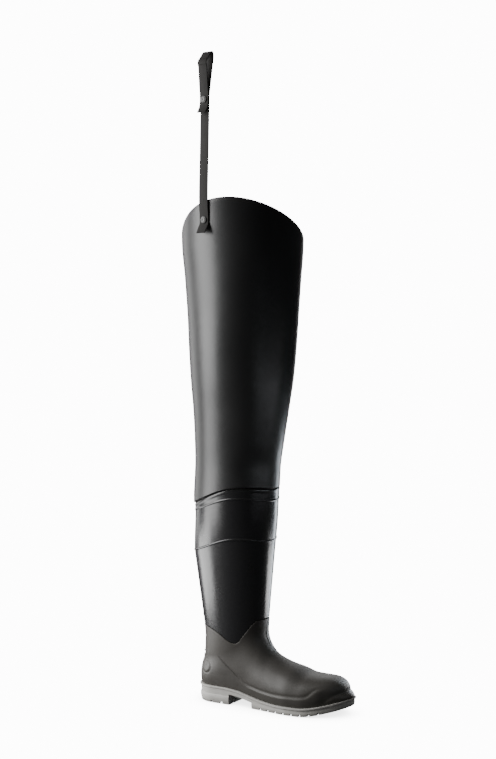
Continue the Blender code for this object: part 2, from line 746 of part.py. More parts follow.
def insole(material):
    """The loose insole, which lies on the sole inside the boot."""
    inset = -(WALL_TUCK + BOOT_WALL + INSOLE_CLEARANCE)
    rings = []
    for lift in (INSOLE_THICKNESS + GAP, GAP):
        loop = sole_outline(inset)
        along = np.clip(loop[:, 0], 0, SOLE_LENGTH)
        rings.append(np.column_stack([loop, feather(along) + lift]))
    return capped_sole(rings, material, "insole")


class StrapFrame:
    """Where the strap's stud goes through the thigh shaft: a point on the wall and its directions."""

    def __init__(self):
        turn = np.array([math.cos(STUD_TURN), math.sin(STUD_TURN), 0.0])
        origin = np.array([[AXIS_X, 0.0, STUD_HEIGHT]])
        self.wall = Vector(surface_hits(thigh_form, origin, turn[None, :], 1.2 * THIGH_DIAMETER)[0])
        ahead = THIGH_DIAMETER * float(column(THIGH_SECTIONS, THIGH_COLUMNS, "ahead", 1.0))
        self.out = Vector((self.wall.x - ahead, self.wall.y, 0)).normalized()
        self.along = self.out.cross(Vector((0, 0, 1)))

    def matrix(self):
        """Local X runs along the strap's width, Y out from the wall and Z up."""
        m = Matrix((self.along, self.out, Vector((0, 0, 1)))).transposed().to_4x4()
        m.translation = self.wall
        return m

    def place(self, obj):
        obj.data.transform(self.matrix())
        return obj


def strap_path():
    """The strap's middle line as (out, up) points from the stud, from its lower tab to its upper tab."""
    seat = PRESS_GAP + STRAP_THICKNESS / 2
    snap = snap_height()
    lift = seat + STRAP_STAND_OFF
    over = lift + STRAP_THICKNESS + PRESS_GAP
    top = snap + LOOP_LENGTH
    half = LOOP_OPENING / 2
    start = collar_line(STUD_TURN) - STUD_HEIGHT
    path = [
        (seat + 0.010, -STRAP_TAB),
        (seat + 0.0045, -0.6 * STRAP_TAB),
        (seat, -SNAP_RADIUS),
        (seat, SNAP_RADIUS),
        (lift, start),
        (lift, 0.5 * (start + snap)),
        (lift, snap - 1.1 * SNAP_RADIUS),
        (lift, snap + 1.1 * SNAP_RADIUS),
        (lift - 0.25 * half, snap + 0.30 * LOOP_LENGTH),
        (lift - 0.75 * half, snap + 0.72 * LOOP_LENGTH),
        (lift - 0.95 * half, top - 0.009),
        (lift - 0.85 * half, top - 0.002),
        (lift - 0.50 * half, top),
        (lift + 0.55 * half, top - 0.013),
        (lift + 0.95 * half, top - 0.018),
        (lift + 1.02 * half, top - 0.024),
        (lift + 0.90 * half, snap + 0.70 * LOOP_LENGTH),
        (over + 0.25 * half, snap + 0.32 * LOOP_LENGTH),
        (over, snap + 1.1 * SNAP_RADIUS),
        (over, snap - 1.1 * SNAP_RADIUS),
        (over + 0.002, snap - 0.6 * STRAP_TAB),
        (over + 0.0075, snap - STRAP_TAB),
    ]
    return [(out - strap_lean(up), up) for out, up in path]


def strap_lean(up):
    """How far the strap leans in over the leg at a height above the stud."""
    return STRAP_LEAN * max(up - 0.035, 0) / snap_height()


def smooth_path(points, pieces=3):
    """A rounder path through the same points, by a centripetal spline."""
    p = np.array(points)
    p = np.vstack([2 * p[0] - p[1], p, 2 * p[-1] - p[-2]])
    knots = np.concatenate([[0], np.cumsum(np.linalg.norm(np.diff(p, axis=0), axis=1) ** 0.5)])
    made = []
    for i in range(1, len(p) - 2):
        for t in np.linspace(knots[i], knots[i + 1], pieces, endpoint=False):
            a = [
                p[j] * (knots[j + 1] - t) / (knots[j + 1] - knots[j])
                + p[j + 1] * (t - knots[j]) / (knots[j + 1] - knots[j])
                for j in (i - 1, i, i + 1)
            ]
            b = [
                a[j] * (knots[i + 1 + j] - t) / (knots[i + 1 + j] - knots[i - 1 + j])
                + a[j + 1] * (t - knots[i - 1 + j]) / (knots[i + 1 + j] - knots[i - 1 + j])
                for j in (0, 1)
            ]
            made.append(
                b[0] * (knots[i + 1] - t) / (knots[i + 1] - knots[i])
                + b[1] * (t - knots[i]) / (knots[i + 1] - knots[i])
            )
    return np.array(made + [p[-2]])


def strap(frame, material):
    """One flat strap, snapped to the wall below and folded over into a belt loop above."""
    path = smooth_path(strap_path())
    tangent = np.gradient(path, axis=0)
    side = np.stack([-tangent[:, 1], tangent[:, 0]], axis=1)
    side *= STRAP_THICKNESS / 2 / np.linalg.norm(side, axis=1, keepdims=True)
    bm = bmesh.new()
    ends = []
    for x in (-STRAP_WIDTH / 2, STRAP_WIDTH / 2):
        a = [bm.verts.new((x, *p)) for p in path + side]
        b = [bm.verts.new((x, *p)) for p in path - side]
        for i in range(len(path) - 1):
            bm.faces.new((a[i], a[i + 1], b[i + 1], b[i]))
        ends.append((a, b))
    (a0, b0), (a1, b1) = ends
    for i in range(len(path) - 1):
        bm.faces.new((a0[i], a0[i + 1], a1[i + 1], a1[i]))
        bm.faces.new((b0[i], b0[i + 1], b1[i + 1], b1[i]))
    for i in (0, -1):
        bm.faces.new((a0[i], b0[i], b1[i], a1[i]))
    obj = frame.place(finished("strap", bm, material))
    for name, height in (("stud_hole_cutter", 0.0), ("snap_hole_cutter", snap_height())):
        cut_away(obj, name, post_cutter(frame, height, -POST_REACH / 2, 1.5 * POST_REACH))
    return obj


def snap_height():
    """Height of the loop's snap above the wall stud."""
    return STRAP_REACH - STRAP_TAB - LOOP_LENGTH


def post_cutter(frame, height, start, end):
    """A round bar along the strap frame's outward direction."""
    radius = SNAP_POST_RADIUS + POST_CLEARANCE
    bm = bmesh.new()
    middle = Matrix.Translation((0, (start + end) / 2, height))
    place = frame.matrix() @ middle @ Matrix.Rotation(math.pi / 2, 4, "X")
    bmesh.ops.create_cone(
        bm, cap_ends=True, segments=12, radius1=radius, radius2=radius, depth=end - start, matrix=place
    )
    return bm


def snap(frame, name, height, back, front, material):
    """A domed cap, a post and a washer, spun about the post. back and front are the faces they hold."""
    profile = [
        (0.0, back - SNAP_WASHER),
        (0.85 * SNAP_RADIUS, back - SNAP_WASHER),
        (0.85 * SNAP_RADIUS, back),
        (SNAP_POST_RADIUS, back),
        (SNAP_POST_RADIUS, front),
        (SNAP_RADIUS, front),
        (SNAP_RADIUS, front + 0.35 * SNAP_CAP_HEIGHT),
        (0.75 * SNAP_RADIUS, front + 0.85 * SNAP_CAP_HEIGHT),
        (0.35 * SNAP_RADIUS, front + SNAP_CAP_HEIGHT),
        (0.0, front + SNAP_CAP_HEIGHT),
    ]
    bm = bmesh.new()
    verts = [bm.verts.new((r, out, height)) for r, out in profile]
    edges = [bm.edges.new(pair) for pair in zip(verts, verts[1:])]
    bmesh.ops.spin(
        bm, geom=verts + edges, cent=(0, 0, height), axis=(0, 1, 0), angle=2 * math.pi, steps=16,
        use_merge=True,
    )
    bmesh.ops.remove_doubles(bm, verts=bm.verts, dist=1e-6)
    return frame.place(finished(name, bm, material))


def material(name, colour, roughness, metallic=0.0):
    """A plain Principled material."""
    made = bpy.data.materials.new(name)
    made.use_nodes = True
    shader = made.node_tree.nodes["Principled BSDF"]
    shader.inputs["Base Color"].default_value = (*colour, 1.0)
    shader.inputs["Roughness"].default_value = roughness
    shader.inputs["Metallic"].default_value = metallic
    made.diffuse_color = (*colour, 1.0)
    return made


def stand_on_origin():
    """Moves the whole wader so that its box stands centred on the origin."""
    bpy.context.view_layer.update()
    graph = bpy.context.evaluated_depsgraph_get()
    shown = [o for o in bpy.context.scene.objects if o.type == "MESH" and not o.hide_render]
    corners = [o.matrix_world @ Vector(c) for o in shown for c in o.evaluated_get(graph).bound_box]
    low = Vector(min(c[i] for c in corners) for i in range(3))
    high = Vector(max(c[i] for c in corners) for i in range(3))
    shift = Vector((-(low.x + high.x) / 2, -(low.y + high.y) / 2, -low.z))
    for obj in bpy.context.scene.objects:
        obj.location += shift


def main():
    for old in list(bpy.data.objects):
        bpy.data.objects.remove(old)
    boot_black = material("boot_black", (0.012, 0.012, 0.013), 0.28)
    shell_charcoal = material("shell_charcoal", (0.034, 0.032, 0.029), 0.48)
    sole_grey = material("sole_grey", (0.30, 0.29, 0.27), 0.55)
    sheet_black = material("sheet_black", (0.013, 0.013, 0.013), 0.34)
    felt_grey = material("felt_grey", (0.20, 0.20, 0.20), 0.9)
    strap_black = material("strap_black", (0.016, 0.015, 0.015), 0.5)
    snap_metal = material("snap_metal", (0.10, 0.10, 0.10), 0.35, 0.9)

    meridians = Meridians()
    _, foot, normals, lap = knee_boot(meridians, boot_black)
    foot_shell(foot, normals, shell_charcoal)
    tube = thigh_shaft(meridians, lap, sheet_black)
    outsole(sole_grey)
    insole(felt_grey)

    frame = StrapFrame()
    cut_away(tube, "wall_hole_cutter", post_cutter(frame, 0.0, -POST_REACH, POST_REACH))
    strap(frame, strap_black)
    front = PRESS_GAP + STRAP_THICKNESS + 2 * GAP
    snap(frame, "wall_stud", 0.0, -THIGH_WALL - 2 * PRESS_GAP, front, snap_metal)
    run = STRAP_STAND_OFF - strap_lean(snap_height())
    back = PRESS_GAP + run - 2 * GAP
    front = PRESS_GAP + run + 2 * STRAP_THICKNESS + PRESS_GAP + 2 * GAP
    snap(frame, "loop_snap", snap_height(), back, front, snap_metal)
    stand_on_origin()


main()
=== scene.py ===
"""Looks for the hip wader: glossy boot, matt foot, welded thigh shaft, grey sole and belt strap.

The pieces are bent to the same surfaces as the solids, with finer rows and the small relief that
the solids leave out. Sizes are in metres. The boot is worked out with its heel at X = 0 on the
floor and every piece is then moved by HOME to where the solids stand.
"""

import math

import bmesh
import bpy
import numpy as np
from mathutils import Matrix, Vector


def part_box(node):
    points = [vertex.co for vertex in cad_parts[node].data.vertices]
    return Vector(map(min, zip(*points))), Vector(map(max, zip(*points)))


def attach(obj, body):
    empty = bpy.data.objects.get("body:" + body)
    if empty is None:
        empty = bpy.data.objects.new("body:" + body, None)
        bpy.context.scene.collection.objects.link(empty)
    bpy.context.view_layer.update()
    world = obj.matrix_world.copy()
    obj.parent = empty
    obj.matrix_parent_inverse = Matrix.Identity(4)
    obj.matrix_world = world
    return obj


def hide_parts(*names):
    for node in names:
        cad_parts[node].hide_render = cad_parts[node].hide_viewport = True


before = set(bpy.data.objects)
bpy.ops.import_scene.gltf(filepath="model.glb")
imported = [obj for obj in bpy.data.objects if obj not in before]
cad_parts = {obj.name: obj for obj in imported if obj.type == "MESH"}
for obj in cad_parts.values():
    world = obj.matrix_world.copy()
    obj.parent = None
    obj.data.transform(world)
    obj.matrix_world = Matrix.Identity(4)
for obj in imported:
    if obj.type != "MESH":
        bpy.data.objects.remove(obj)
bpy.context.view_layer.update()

# The solids' own sizes
SOLE_LENGTH = 0.310
BALL_WIDTH = 0.108
HEEL_HEIGHT = 0.032
BALL_THICKNESS = 0.0155
SHANK_THICKNESS = 0.011
TOE_SPRING = 0.018
HEEL_LENGTH = 0.077
ARCH_LENGTH = 0.050
TREAD_DEPTH = 0.0045
WELT_REACH = 0.0024
RIDGE_HEIGHT = 0.119
WALL_TUCK = 0.0040
TOE_LEAN = 0.0105
TOE_LEAN_RISE = 0.016
BOOT_HEIGHT = 0.3915
SHAFT_DEPTH = 0.163
SHAFT_WIDTH = 0.138
SHAFT_SQUARENESS = 2.15
WIDEST_SHARE = 0.34
BOOT_WALL = 0.0030
SHELL_WALL = 0.0012
SHELL_SEAT = 0.0010
SHELL_TOP = 0.160
RIM_BAND = 0.0158
RIB_DROP = 0.0909
RIB_TILT = 0.005
COLLAR_HEIGHT = 0.8673
COLLAR_RISE = 0.0687
COLLAR_TURN = math.radians(-61.5)
COLLAR_DIP = 0.0061
THIGH_DIAMETER = 0.227
THIGH_WALL = 0.0020
WELD_LAP = 0.040
GAP = 0.0003
WELD_GAP = 0.0006
AXIS_X = 0.0713
AXIS_Z = 0.034
TOE_ROUND = 0.083
HEEL_ROUND = 0.040
NOSE_ROUND = 0.048
HEEL_BLEND = 0.0105
INSTEP_BLEND = 0.025
TOP_WAVES = (0.0193, -0.0061, -0.0017)
STUD_HEIGHT = COLLAR_HEIGHT + 0.0317
STUD_TURN = math.radians(-90)
STRAP_WIDTH = 0.020
STRAP_THICKNESS = 0.0020
STRAP_TAB = 0.024
LOOP_LENGTH = 0.088
LOOP_OPENING = 0.022
STRAP_STAND_OFF = 0.0020
STRAP_LEAN = 0.0060
PRESS_GAP = 0.0009
SNAP_RISE = 0.219
SNAP_RADIUS = 0.0062

# Relief that is finer here than on the solids
FLARE_HEIGHT = 0.0025
RIB_HEIGHT = 0.0013
RIB_HALF_WIDTH = 0.0021
BAND_RAISE = 0.0005
PANEL_RAISE = 0.0012
PANEL_EDGE = 0.0026
PANEL_TOE_END = 0.258
HOLLOW_DEPTH = 0.0006
HOLLOW_RISE = 0.0034
HOLLOW_WIDTH = 0.0022
BUMPER_START = 0.262
BUMPER_HEIGHT = 0.0115
BUMPER_RAISE = 0.0012
BUMPER_EDGE = 0.0022
PAD_PLACE = (0.0255, 0.0665)
PAD_RADIUS = 0.0108
PAD_RAISE = 0.0011
PAD_EDGE = 0.0018
MOAT_RADIUS = 0.0122
MOAT_WIDTH = 0.0014
MOAT_DEPTH = 0.0004
COUNTER_LINE = ((0.0536, 0.0902), (0.1025, 0.0513))
COUNTER_FADE = 0.008
SHEET_WAVER = 0.00055
DENT_DEPTH = 0.0016
DENT_HEIGHT = 0.452
DENT_TURN = -0.75
HEM_DEPTH = 0.006
LINING_GAP = 0.0003
LINING_THICKNESS = 0.0005
SOFT_EDGE = 0.0003
STRAP_EDGE = 0.0007

# Tread: the ring groove stands in from the sole's edge, and the gaps between the lugs are slanted
GROOVE_WIDTH = 0.0042
RING_INSET = 0.020
LUG_GAP = 0.0036
LUG_SLANT = math.radians(18)
SIPE_WIDTH = 0.0022
SIPE_DEPTH = 0.0028

# Weaves, in radians to the metre, and the light of the white paper
SHEET_WEAVE = 2 * math.pi / 0.0011
LINING_WEAVE = 2 * math.pi / 0.0016
LINING_TWILL = 2 * math.pi / 0.0064
PAPER_WHITE = (13.0, 13.0, 13.0)

# Fineness
SPOKES = 256
TILTS = 300
RAY_STEPS = 130
SOLE_STATIONS = 110

# Shares of SOLE_LENGTH, BALL_WIDTH (three columns) and RIDGE_HEIGHT
FOOT_SECTIONS = np.array([
    (0.00, 0.350, 0.350, 0.000, 0.60),
    (0.12, 0.358, 0.362, 0.000, 0.78),
    (0.24, 0.350, 0.368, 0.000, 0.98),
    (0.35, 0.335, 0.375, 0.000, 1.03),
    (0.43, 0.350, 0.400, 0.000, 0.945),
    (0.50, 0.395, 0.432, 0.004, 0.817),
    (0.58, 0.450, 0.470, 0.010, 0.721),
    (0.66, 0.488, 0.498, 0.018, 0.656),
    (0.74, 0.498, 0.496, 0.030, 0.580),
    (0.82, 0.490, 0.478, 0.048, 0.566),
    (0.90, 0.475, 0.455, 0.066, 0.562),
    (1.00, 0.460, 0.440, 0.080, 0.562),
])
# Shares of SOLE_LENGTH, heel rise and toe spring
SOLE_SECTIONS = np.array([
    (0.00, 1.00, 0.00),
    (0.20, 1.00, 0.00),
    (0.30, 0.84, 0.00),
    (0.40, 0.46, 0.00),
    (0.50, 0.14, 0.00),
    (0.60, 0.00, 0.00),
    (0.72, 0.00, 0.00),
    (0.80, 0.00, 0.14),
    (0.90, 0.00, 0.52),
    (1.00, 0.00, 1.00),
])
# Shares of BOOT_HEIGHT, SHAFT_DEPTH (back and front) and SHAFT_WIDTH
SHAFT_SECTIONS = np.array([
    (0.14, 0.045, 0.722, 0.262),
    (0.23, 0.049, 0.786, 0.302),
    (0.32, 0.058, 0.809, 0.330),
    (0.40, 0.034, 0.831, 0.350),
    (0.51, -0.0235, 0.837, 0.386),
    (0.64, -0.050, 0.838, 0.430),
    (0.74, -0.069, 0.888, 0.468),
    (0.90, -0.053, 0.925, 0.494),
    (1.06, -0.047, 0.939, 0.500),
])
# Share of the way from boot top to collar, then shares of THIGH_DIAMETER
THIGH_SECTIONS = np.array([
    (0.000, 0.312, 0.735, 0.653),
    (0.101, 0.324, 0.730, 0.667),
    (0.213, 0.340, 0.760, 0.713),
    (0.335, 0.355, 0.808, 0.776),
    (0.456, 0.364, 0.862, 0.848),
    (0.578, 0.370, 0.897, 0.896),
    (0.710, 0.376, 0.927, 0.927),
    (0.852, 0.377, 0.968, 0.968),
    (0.974, 0.372, 1.010, 1.010),
    (1.146, 0.368, 1.030, 1.030),
])
# Upper border of the foot shell: shares of SHAFT_DEPTH and SHELL_TOP
BORDER_SECTIONS = np.array([
    (0.000, 0.905), (0.120, 0.895), (0.235, 0.875), (0.333, 0.840), (0.405, 0.800),
    (0.483, 0.750), (0.558, 0.727), (0.603, 0.748), (0.648, 0.810), (0.693, 0.872),
    (0.733, 0.930), (0.763, 0.970), (0.793, 0.995), (0.833, 1.000),
])
# The foot's raised lower panel: shares of SOLE_LENGTH, RIDGE_HEIGHT and its own thickness
PANEL_SECTIONS = np.array([
    (0.00, 0.50, 0.0), (0.14, 0.49, 0.0), (0.31, 0.20, 0.0), (0.40, 0.13, 1.0),
    (0.78, 0.15, 1.0), (0.84, 0.24, 1.0), (1.00, 0.24, 1.0),
])

# The sole's side, from the tread up: reach past the outline, reach added at the heel, share of
# the way up to the feather line and height added to that
SOLE_PROFILE = (
    (-0.0022, 0.0, 0.0, 0.0), (-0.0012, 0.0, 0.0, 0.0004), (-0.0006, 0.0, 0.0, 0.0013),
    (0.0002, 0.0011, 0.30, 0.0), (0.0002, 0.0011, 0.46, 0.0), (0.0001, 0.0006, 0.50, 0.0),
    (0.0000, 0.0, 0.53, 0.0), (0.0002, 0.0, 0.75, 0.0), (0.0003, 0.0, 1.0, -0.0044),
    (0.0012, 0.0, 1.0, -0.0036), (WELT_REACH, 0.0, 1.0, -0.0028),
    (WELT_REACH, 0.0, 1.0, -0.0006), (WELT_REACH - 0.0005, 0.0, 1.0, 0.0),
)


def smooth_through(knots, values, at):
    """A monotone cubic through a table's rows, flat beyond its two ends."""
    at = np.clip(np.asarray(at, float), knots[0], knots[-1])
    step = np.diff(knots)
    slope = np.diff(values) / step
    tangent = np.zeros_like(values)
    same_way = slope[:-1] * slope[1:] > 0
    mean = np.where(same_way, slope[:-1] + slope[1:], 1.0)
    tangent[1:-1] = np.where(same_way, 2 * slope[:-1] * slope[1:] / mean, 0.0)
    tangent[0], tangent[-1] = slope[0], slope[-1]
    row = np.clip(np.searchsorted(knots, at) - 1, 0, len(step) - 1)
    t = (at - knots[row]) / step[row]
    return (
        values[row] * (2 * t**3 - 3 * t**2 + 1)
        + values[row + 1] * (3 * t**2 - 2 * t**3)
        + tangent[row] * step[row] * (t**3 - 2 * t**2 + t)
        + tangent[row + 1] * step[row] * (t**3 - t**2)
    )


def read(table, index, at):
    """One column of a table of shares."""
    return smooth_through(table[:, 0], table[:, index], at)


def ease(t):
    """0 to 1 with level ends."""
    t = np.clip(t, 0, 1)
    return t * t * (3 - 2 * t)


def rounding(depth, power=2.1):
    """1 at no depth into a rounded end, and 0 at its tip."""
    return (1 - np.clip(depth, 0, 1) ** power) ** (1 / power)


def foot_outline(x):
    """Centre line, inner and outer half widths of the foot's widest line."""
    toe_end = rounding((x - (SOLE_LENGTH - TOE_ROUND)) / TOE_ROUND)
    ends = toe_end * rounding((HEEL_ROUND - x) / HEEL_ROUND)
    inner, outer, swing = (BALL_WIDTH * read(FOOT_SECTIONS, i, x / SOLE_LENGTH) for i in (1, 2, 3))
    return swing, inner * ends, outer * ends


def ground(x):
    """Height of the tread's underside."""
    return TOE_SPRING * read(SOLE_SECTIONS, 2, x / SOLE_LENGTH)


def feather(x):
    """Height of the line where sole and foot meet."""
    heel_share = read(SOLE_SECTIONS, 1, x / SOLE_LENGTH)
    return BALL_THICKNESS + ground(x) + (HEEL_HEIGHT - BALL_THICKNESS) * heel_share


def foot_form(x, y, z):
    """Below zero inside the foot."""
    foot_line = feather(x)
    near_toe = ease((x - (SOLE_LENGTH - NOSE_ROUND)) / NOSE_ROUND)
    forward = x + TOE_LEAN * near_toe * ease((z - foot_line) / TOE_LEAN_RISE)
    middle, inner, outer = foot_outline(forward)
    half = np.maximum(np.where(y > middle, inner, outer), 1e-4)
    ridge = RIDGE_HEIGHT * read(FOOT_SECTIONS, 4, x / SOLE_LENGTH)
    widest = foot_line + WIDEST_SHARE * (ridge - foot_line)
    nose = rounding((forward - (SOLE_LENGTH - NOSE_ROUND)) / NOSE_ROUND)
    top = widest + np.maximum((ridge - widest) * nose, 1e-4)
    below = np.clip((widest - z) / (widest - foot_line), 0, 1)
    half = np.maximum(half - WALL_TUCK * below**2, 1e-4)
    above = np.clip((z - widest) / (top - widest), 0, None)
    squareness = 2.05 + 0.55 * ease((x / SOLE_LENGTH - 0.55) / 0.3)
    reach = ((np.abs(y - middle) / half) ** squareness + above**squareness) ** (1 / squareness)
    depth = (reach - 1) * np.minimum(half, 0.05)
    return np.where((x < 0) | (x > SOLE_LENGTH), np.maximum(depth, 1e-4), depth)


def shaft_form(x, y, z):
    """Below zero inside the boot's shaft."""
    back, front = (SHAFT_DEPTH * read(SHAFT_SECTIONS, i, z / BOOT_HEIGHT) for i in (1, 2))
    half = SHAFT_WIDTH * read(SHAFT_SECTIONS, 3, z / BOOT_HEIGHT)
    depth = (front - back) / 2
    along = (np.abs(x - (front + back) / 2) / depth) ** SHAFT_SQUARENESS
    across = (np.abs(y) / half) ** SHAFT_SQUARENESS
    return ((along + across) ** (1 / SHAFT_SQUARENESS) - 1) * half


def boot_form(x, y, z):
    """Foot and shaft joined with a fillet that is wide at the instep and tight at the heel."""
    foot = foot_form(x, y, z)
    shaft = shaft_form(x, y, z)
    fillet = HEEL_BLEND + (INSTEP_BLEND - HEEL_BLEND) * ease((x - AXIS_X) / (0.4 * SHAFT_DEPTH))
    mix = np.clip(0.5 + 0.5 * (shaft - foot) / fillet, 0, 1)
    return shaft + (foot - shaft) * mix - fillet * mix * (1 - mix)


def thigh_form(x, y, z):
    """Below zero inside the thigh shaft."""
    share = (z - BOOT_HEIGHT) / (COLLAR_HEIGHT - BOOT_HEIGHT)
    ahead, depth, width = (THIGH_DIAMETER * read(THIGH_SECTIONS, i, share) for i in (1, 2, 3))
    return (np.sqrt(((x - ahead) / (depth / 2)) ** 2 + (y / (width / 2)) ** 2) - 1) * width / 2


def surface_hits(form, origins, directions, reach):
    """Where rays that come in from outside first meet a form."""
    distances = np.linspace(reach, 0.0, RAY_STEPS)
    outside = np.full(len(origins), reach)
    inside = np.zeros(len(origins))
    open_rays = np.ones(len(origins), bool)
    for last, here in zip(distances[:-1], distances[1:]):
        p = origins + directions * here
        hit = open_rays & (form(p[:, 0], p[:, 1], p[:, 2]) < 0)
        outside[hit], inside[hit] = last, here
        open_rays &= ~hit
    for _ in range(20):
        half = (outside + inside) / 2
        p = origins + directions * half[:, None]
        within = form(p[:, 0], p[:, 1], p[:, 2]) < 0
        inside = np.where(within, half, inside)
        outside = np.where(within, outside, half)
    return origins + directions * inside[:, None]


def spoke_angles():
    """Directions of the spokes: close together at toe and heel, where the outline turns."""
    stations = SOLE_LENGTH * (1 - np.cos(np.linspace(0, math.pi, 800))) / 2
    middle, inner, outer = foot_outline(stations)
    x = np.concatenate([stations[::-1], stations[1:]])
    y = np.concatenate([(middle + inner)[::-1], (middle - outer)[1:]])
    along = np.concatenate([[0], np.cumsum(np.hypot(np.diff(x), np.diff(y)))])
    around = np.unwrap(np.arctan2(y, x - AXIS_X))
    around -= around[0]
    spread = 0.55 * along / along[-1] + 0.45 * around / around[-1]
    return np.interp(np.arange(SPOKES) / SPOKES, spread, around)


def boot_top(angle):
    """Scalloped top line of the knee boot."""
    return BOOT_HEIGHT + sum(wave * np.cos((k + 1) * angle) for k, wave in enumerate(TOP_WAVES))


def below_top(drop, angle):
    """A line under the boot's top line, a little farther down at the front than at the back."""
    return boot_top(angle) - drop - RIB_TILT * min(drop / RIM_BAND, 1) * np.cos(angle)


def collar_line(angle):
    """Slanted top line of the thigh shaft."""
    slant = COLLAR_RISE * np.cos(angle - COLLAR_TURN)
    return COLLAR_HEIGHT + slant - COLLAR_DIP * np.cos(2 * angle)


def shell_top(x):
    """Upper border of the foot shell, with a point below each ankle."""
    return SHELL_TOP * read(BORDER_SECTIONS, 1, x / SHAFT_DEPTH)


class Meridians:
    """The boot's surface as one fine curve for each spoke, from the feather line upwards."""

    def __init__(self):
        self.angles = spoke_angles()
        tilts = np.radians(np.linspace(-24, 82, TILTS))
        a, t = (m.ravel() for m in np.meshgrid(self.angles, tilts, indexing="ij"))
        directions = np.stack([np.cos(a) * np.cos(t), np.sin(a) * np.cos(t), np.sin(t)], axis=1)
        origins = np.tile([AXIS_X, 0.0, AXIS_Z], (len(a), 1))
        hits = surface_hits(boot_form, origins, directions, 1.25 * (BOOT_HEIGHT + SHAFT_DEPTH))
        self.curves = hits.reshape(SPOKES, TILTS, 3)
        steps = np.linalg.norm(np.diff(self.curves, axis=1), axis=2)
        self.along = np.concatenate([np.zeros((SPOKES, 1)), np.cumsum(steps, axis=1)], axis=1)

    def crossing(self, level):
        """Distance along each curve to its first rise through a level(x, angle)."""
        found = []
        for angle, curve, along in zip(self.angles, self.curves, self.along):
            height = curve[:, 2] - level(curve[:, 0], angle)
            first = int(np.argmax(height > 0))
            share = height[first - 1] / (height[first - 1] - height[first])
            found.append(along[first - 1] + share * (along[first] - along[first - 1]))
        return np.array(found)

    def rows(self, distances):
        """Places for a rows-by-spokes array of distances along the curves."""
        places = np.empty((*distances.shape, 3))
        for i, (along, curve) in enumerate(zip(self.along, self.curves)):
            for c in range(3):
                places[:, i, c] = np.interp(distances[:, i], along, curve[:, c])
        return places


def rows_between(keys, counts):
    """Rows of distances through key rows, with a number of steps from each to the next."""
    made = [keys[0][None]]
    for low, high, count in zip(keys, keys[1:], counts):
        made.append(low + (high - low) * (np.arange(1, count + 1) / count)[:, None])
    return np.concatenate(made)


def skin_normals(places):
    """Outward unit normals of a stack of rings."""
    around = np.roll(places, -1, axis=1) - np.roll(places, 1, axis=1)
    normal = np.cross(around, np.gradient(places, axis=0))
    return normal / np.linalg.norm(normal, axis=2, keepdims=True)


def lifted(places, normals, amount):
    """Places moved out along their normals by one amount, or by one for each place."""
    return places + normals * np.asarray(amount)[..., None]


def rounded_rib(distance, half_width):
    """A rounded rib's height share at a distance from its middle line."""
    return np.sqrt(np.clip(1 - (distance / half_width) ** 2, 0, 1))


def sole_loop(stations, reach):
    """The sole's outline, heel to toe along the outer side and back along the inner one."""
    x = SOLE_LENGTH * (1 - np.cos(np.linspace(0, math.pi, stations))) / 2
    middle, inner, outer = foot_outline(x)
    loop = np.concatenate(
        [np.stack([x, middle - outer], axis=1), np.stack([x, middle + inner], axis=1)[-2:0:-1]]
    )
    tangent = np.roll(loop, -1, axis=0) - np.roll(loop, 1, axis=0)
    normal = np.stack([tangent[:, 1], -tangent[:, 0]], axis=1)
    normal /= np.linalg.norm(normal, axis=1, keepdims=True)
    return loop + normal * np.asarray(reach)[..., None]


# The outsole's own box gives the move from here to where the solids stand
solid_loop = sole_loop(30, WELT_REACH)
sole_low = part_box("outsole")[0]
HOME = Vector((sole_low.x - solid_loop[:, 0].min(), sole_low.y - solid_loop[:, 1].min(), 0.0))


class Socket:
    """An output in a finish's nodes. Sums and products of it add Math nodes."""

    def __init__(self, finish, link):
        self.finish = finish
        self.link = link

    def maths(self, operation, first, second=0.0):
        return self.finish.node("ShaderNodeMath", {"operation": operation}, {0: first, 1: second})

    def __add__(self, other):
        return self.maths("ADD", self, other)

    def __sub__(self, other):
        return self.maths("SUBTRACT", self, other)

    def __rsub__(self, other):
        return self.maths("SUBTRACT", other, self)

    def __mul__(self, other):
        return self.maths("MULTIPLY", self, other)

    def __abs__(self):
        return self.maths("ABSOLUTE", self)

    def wave(self):
        return self.maths("SINE", self)

    __radd__ = __add__
    __rmul__ = __mul__


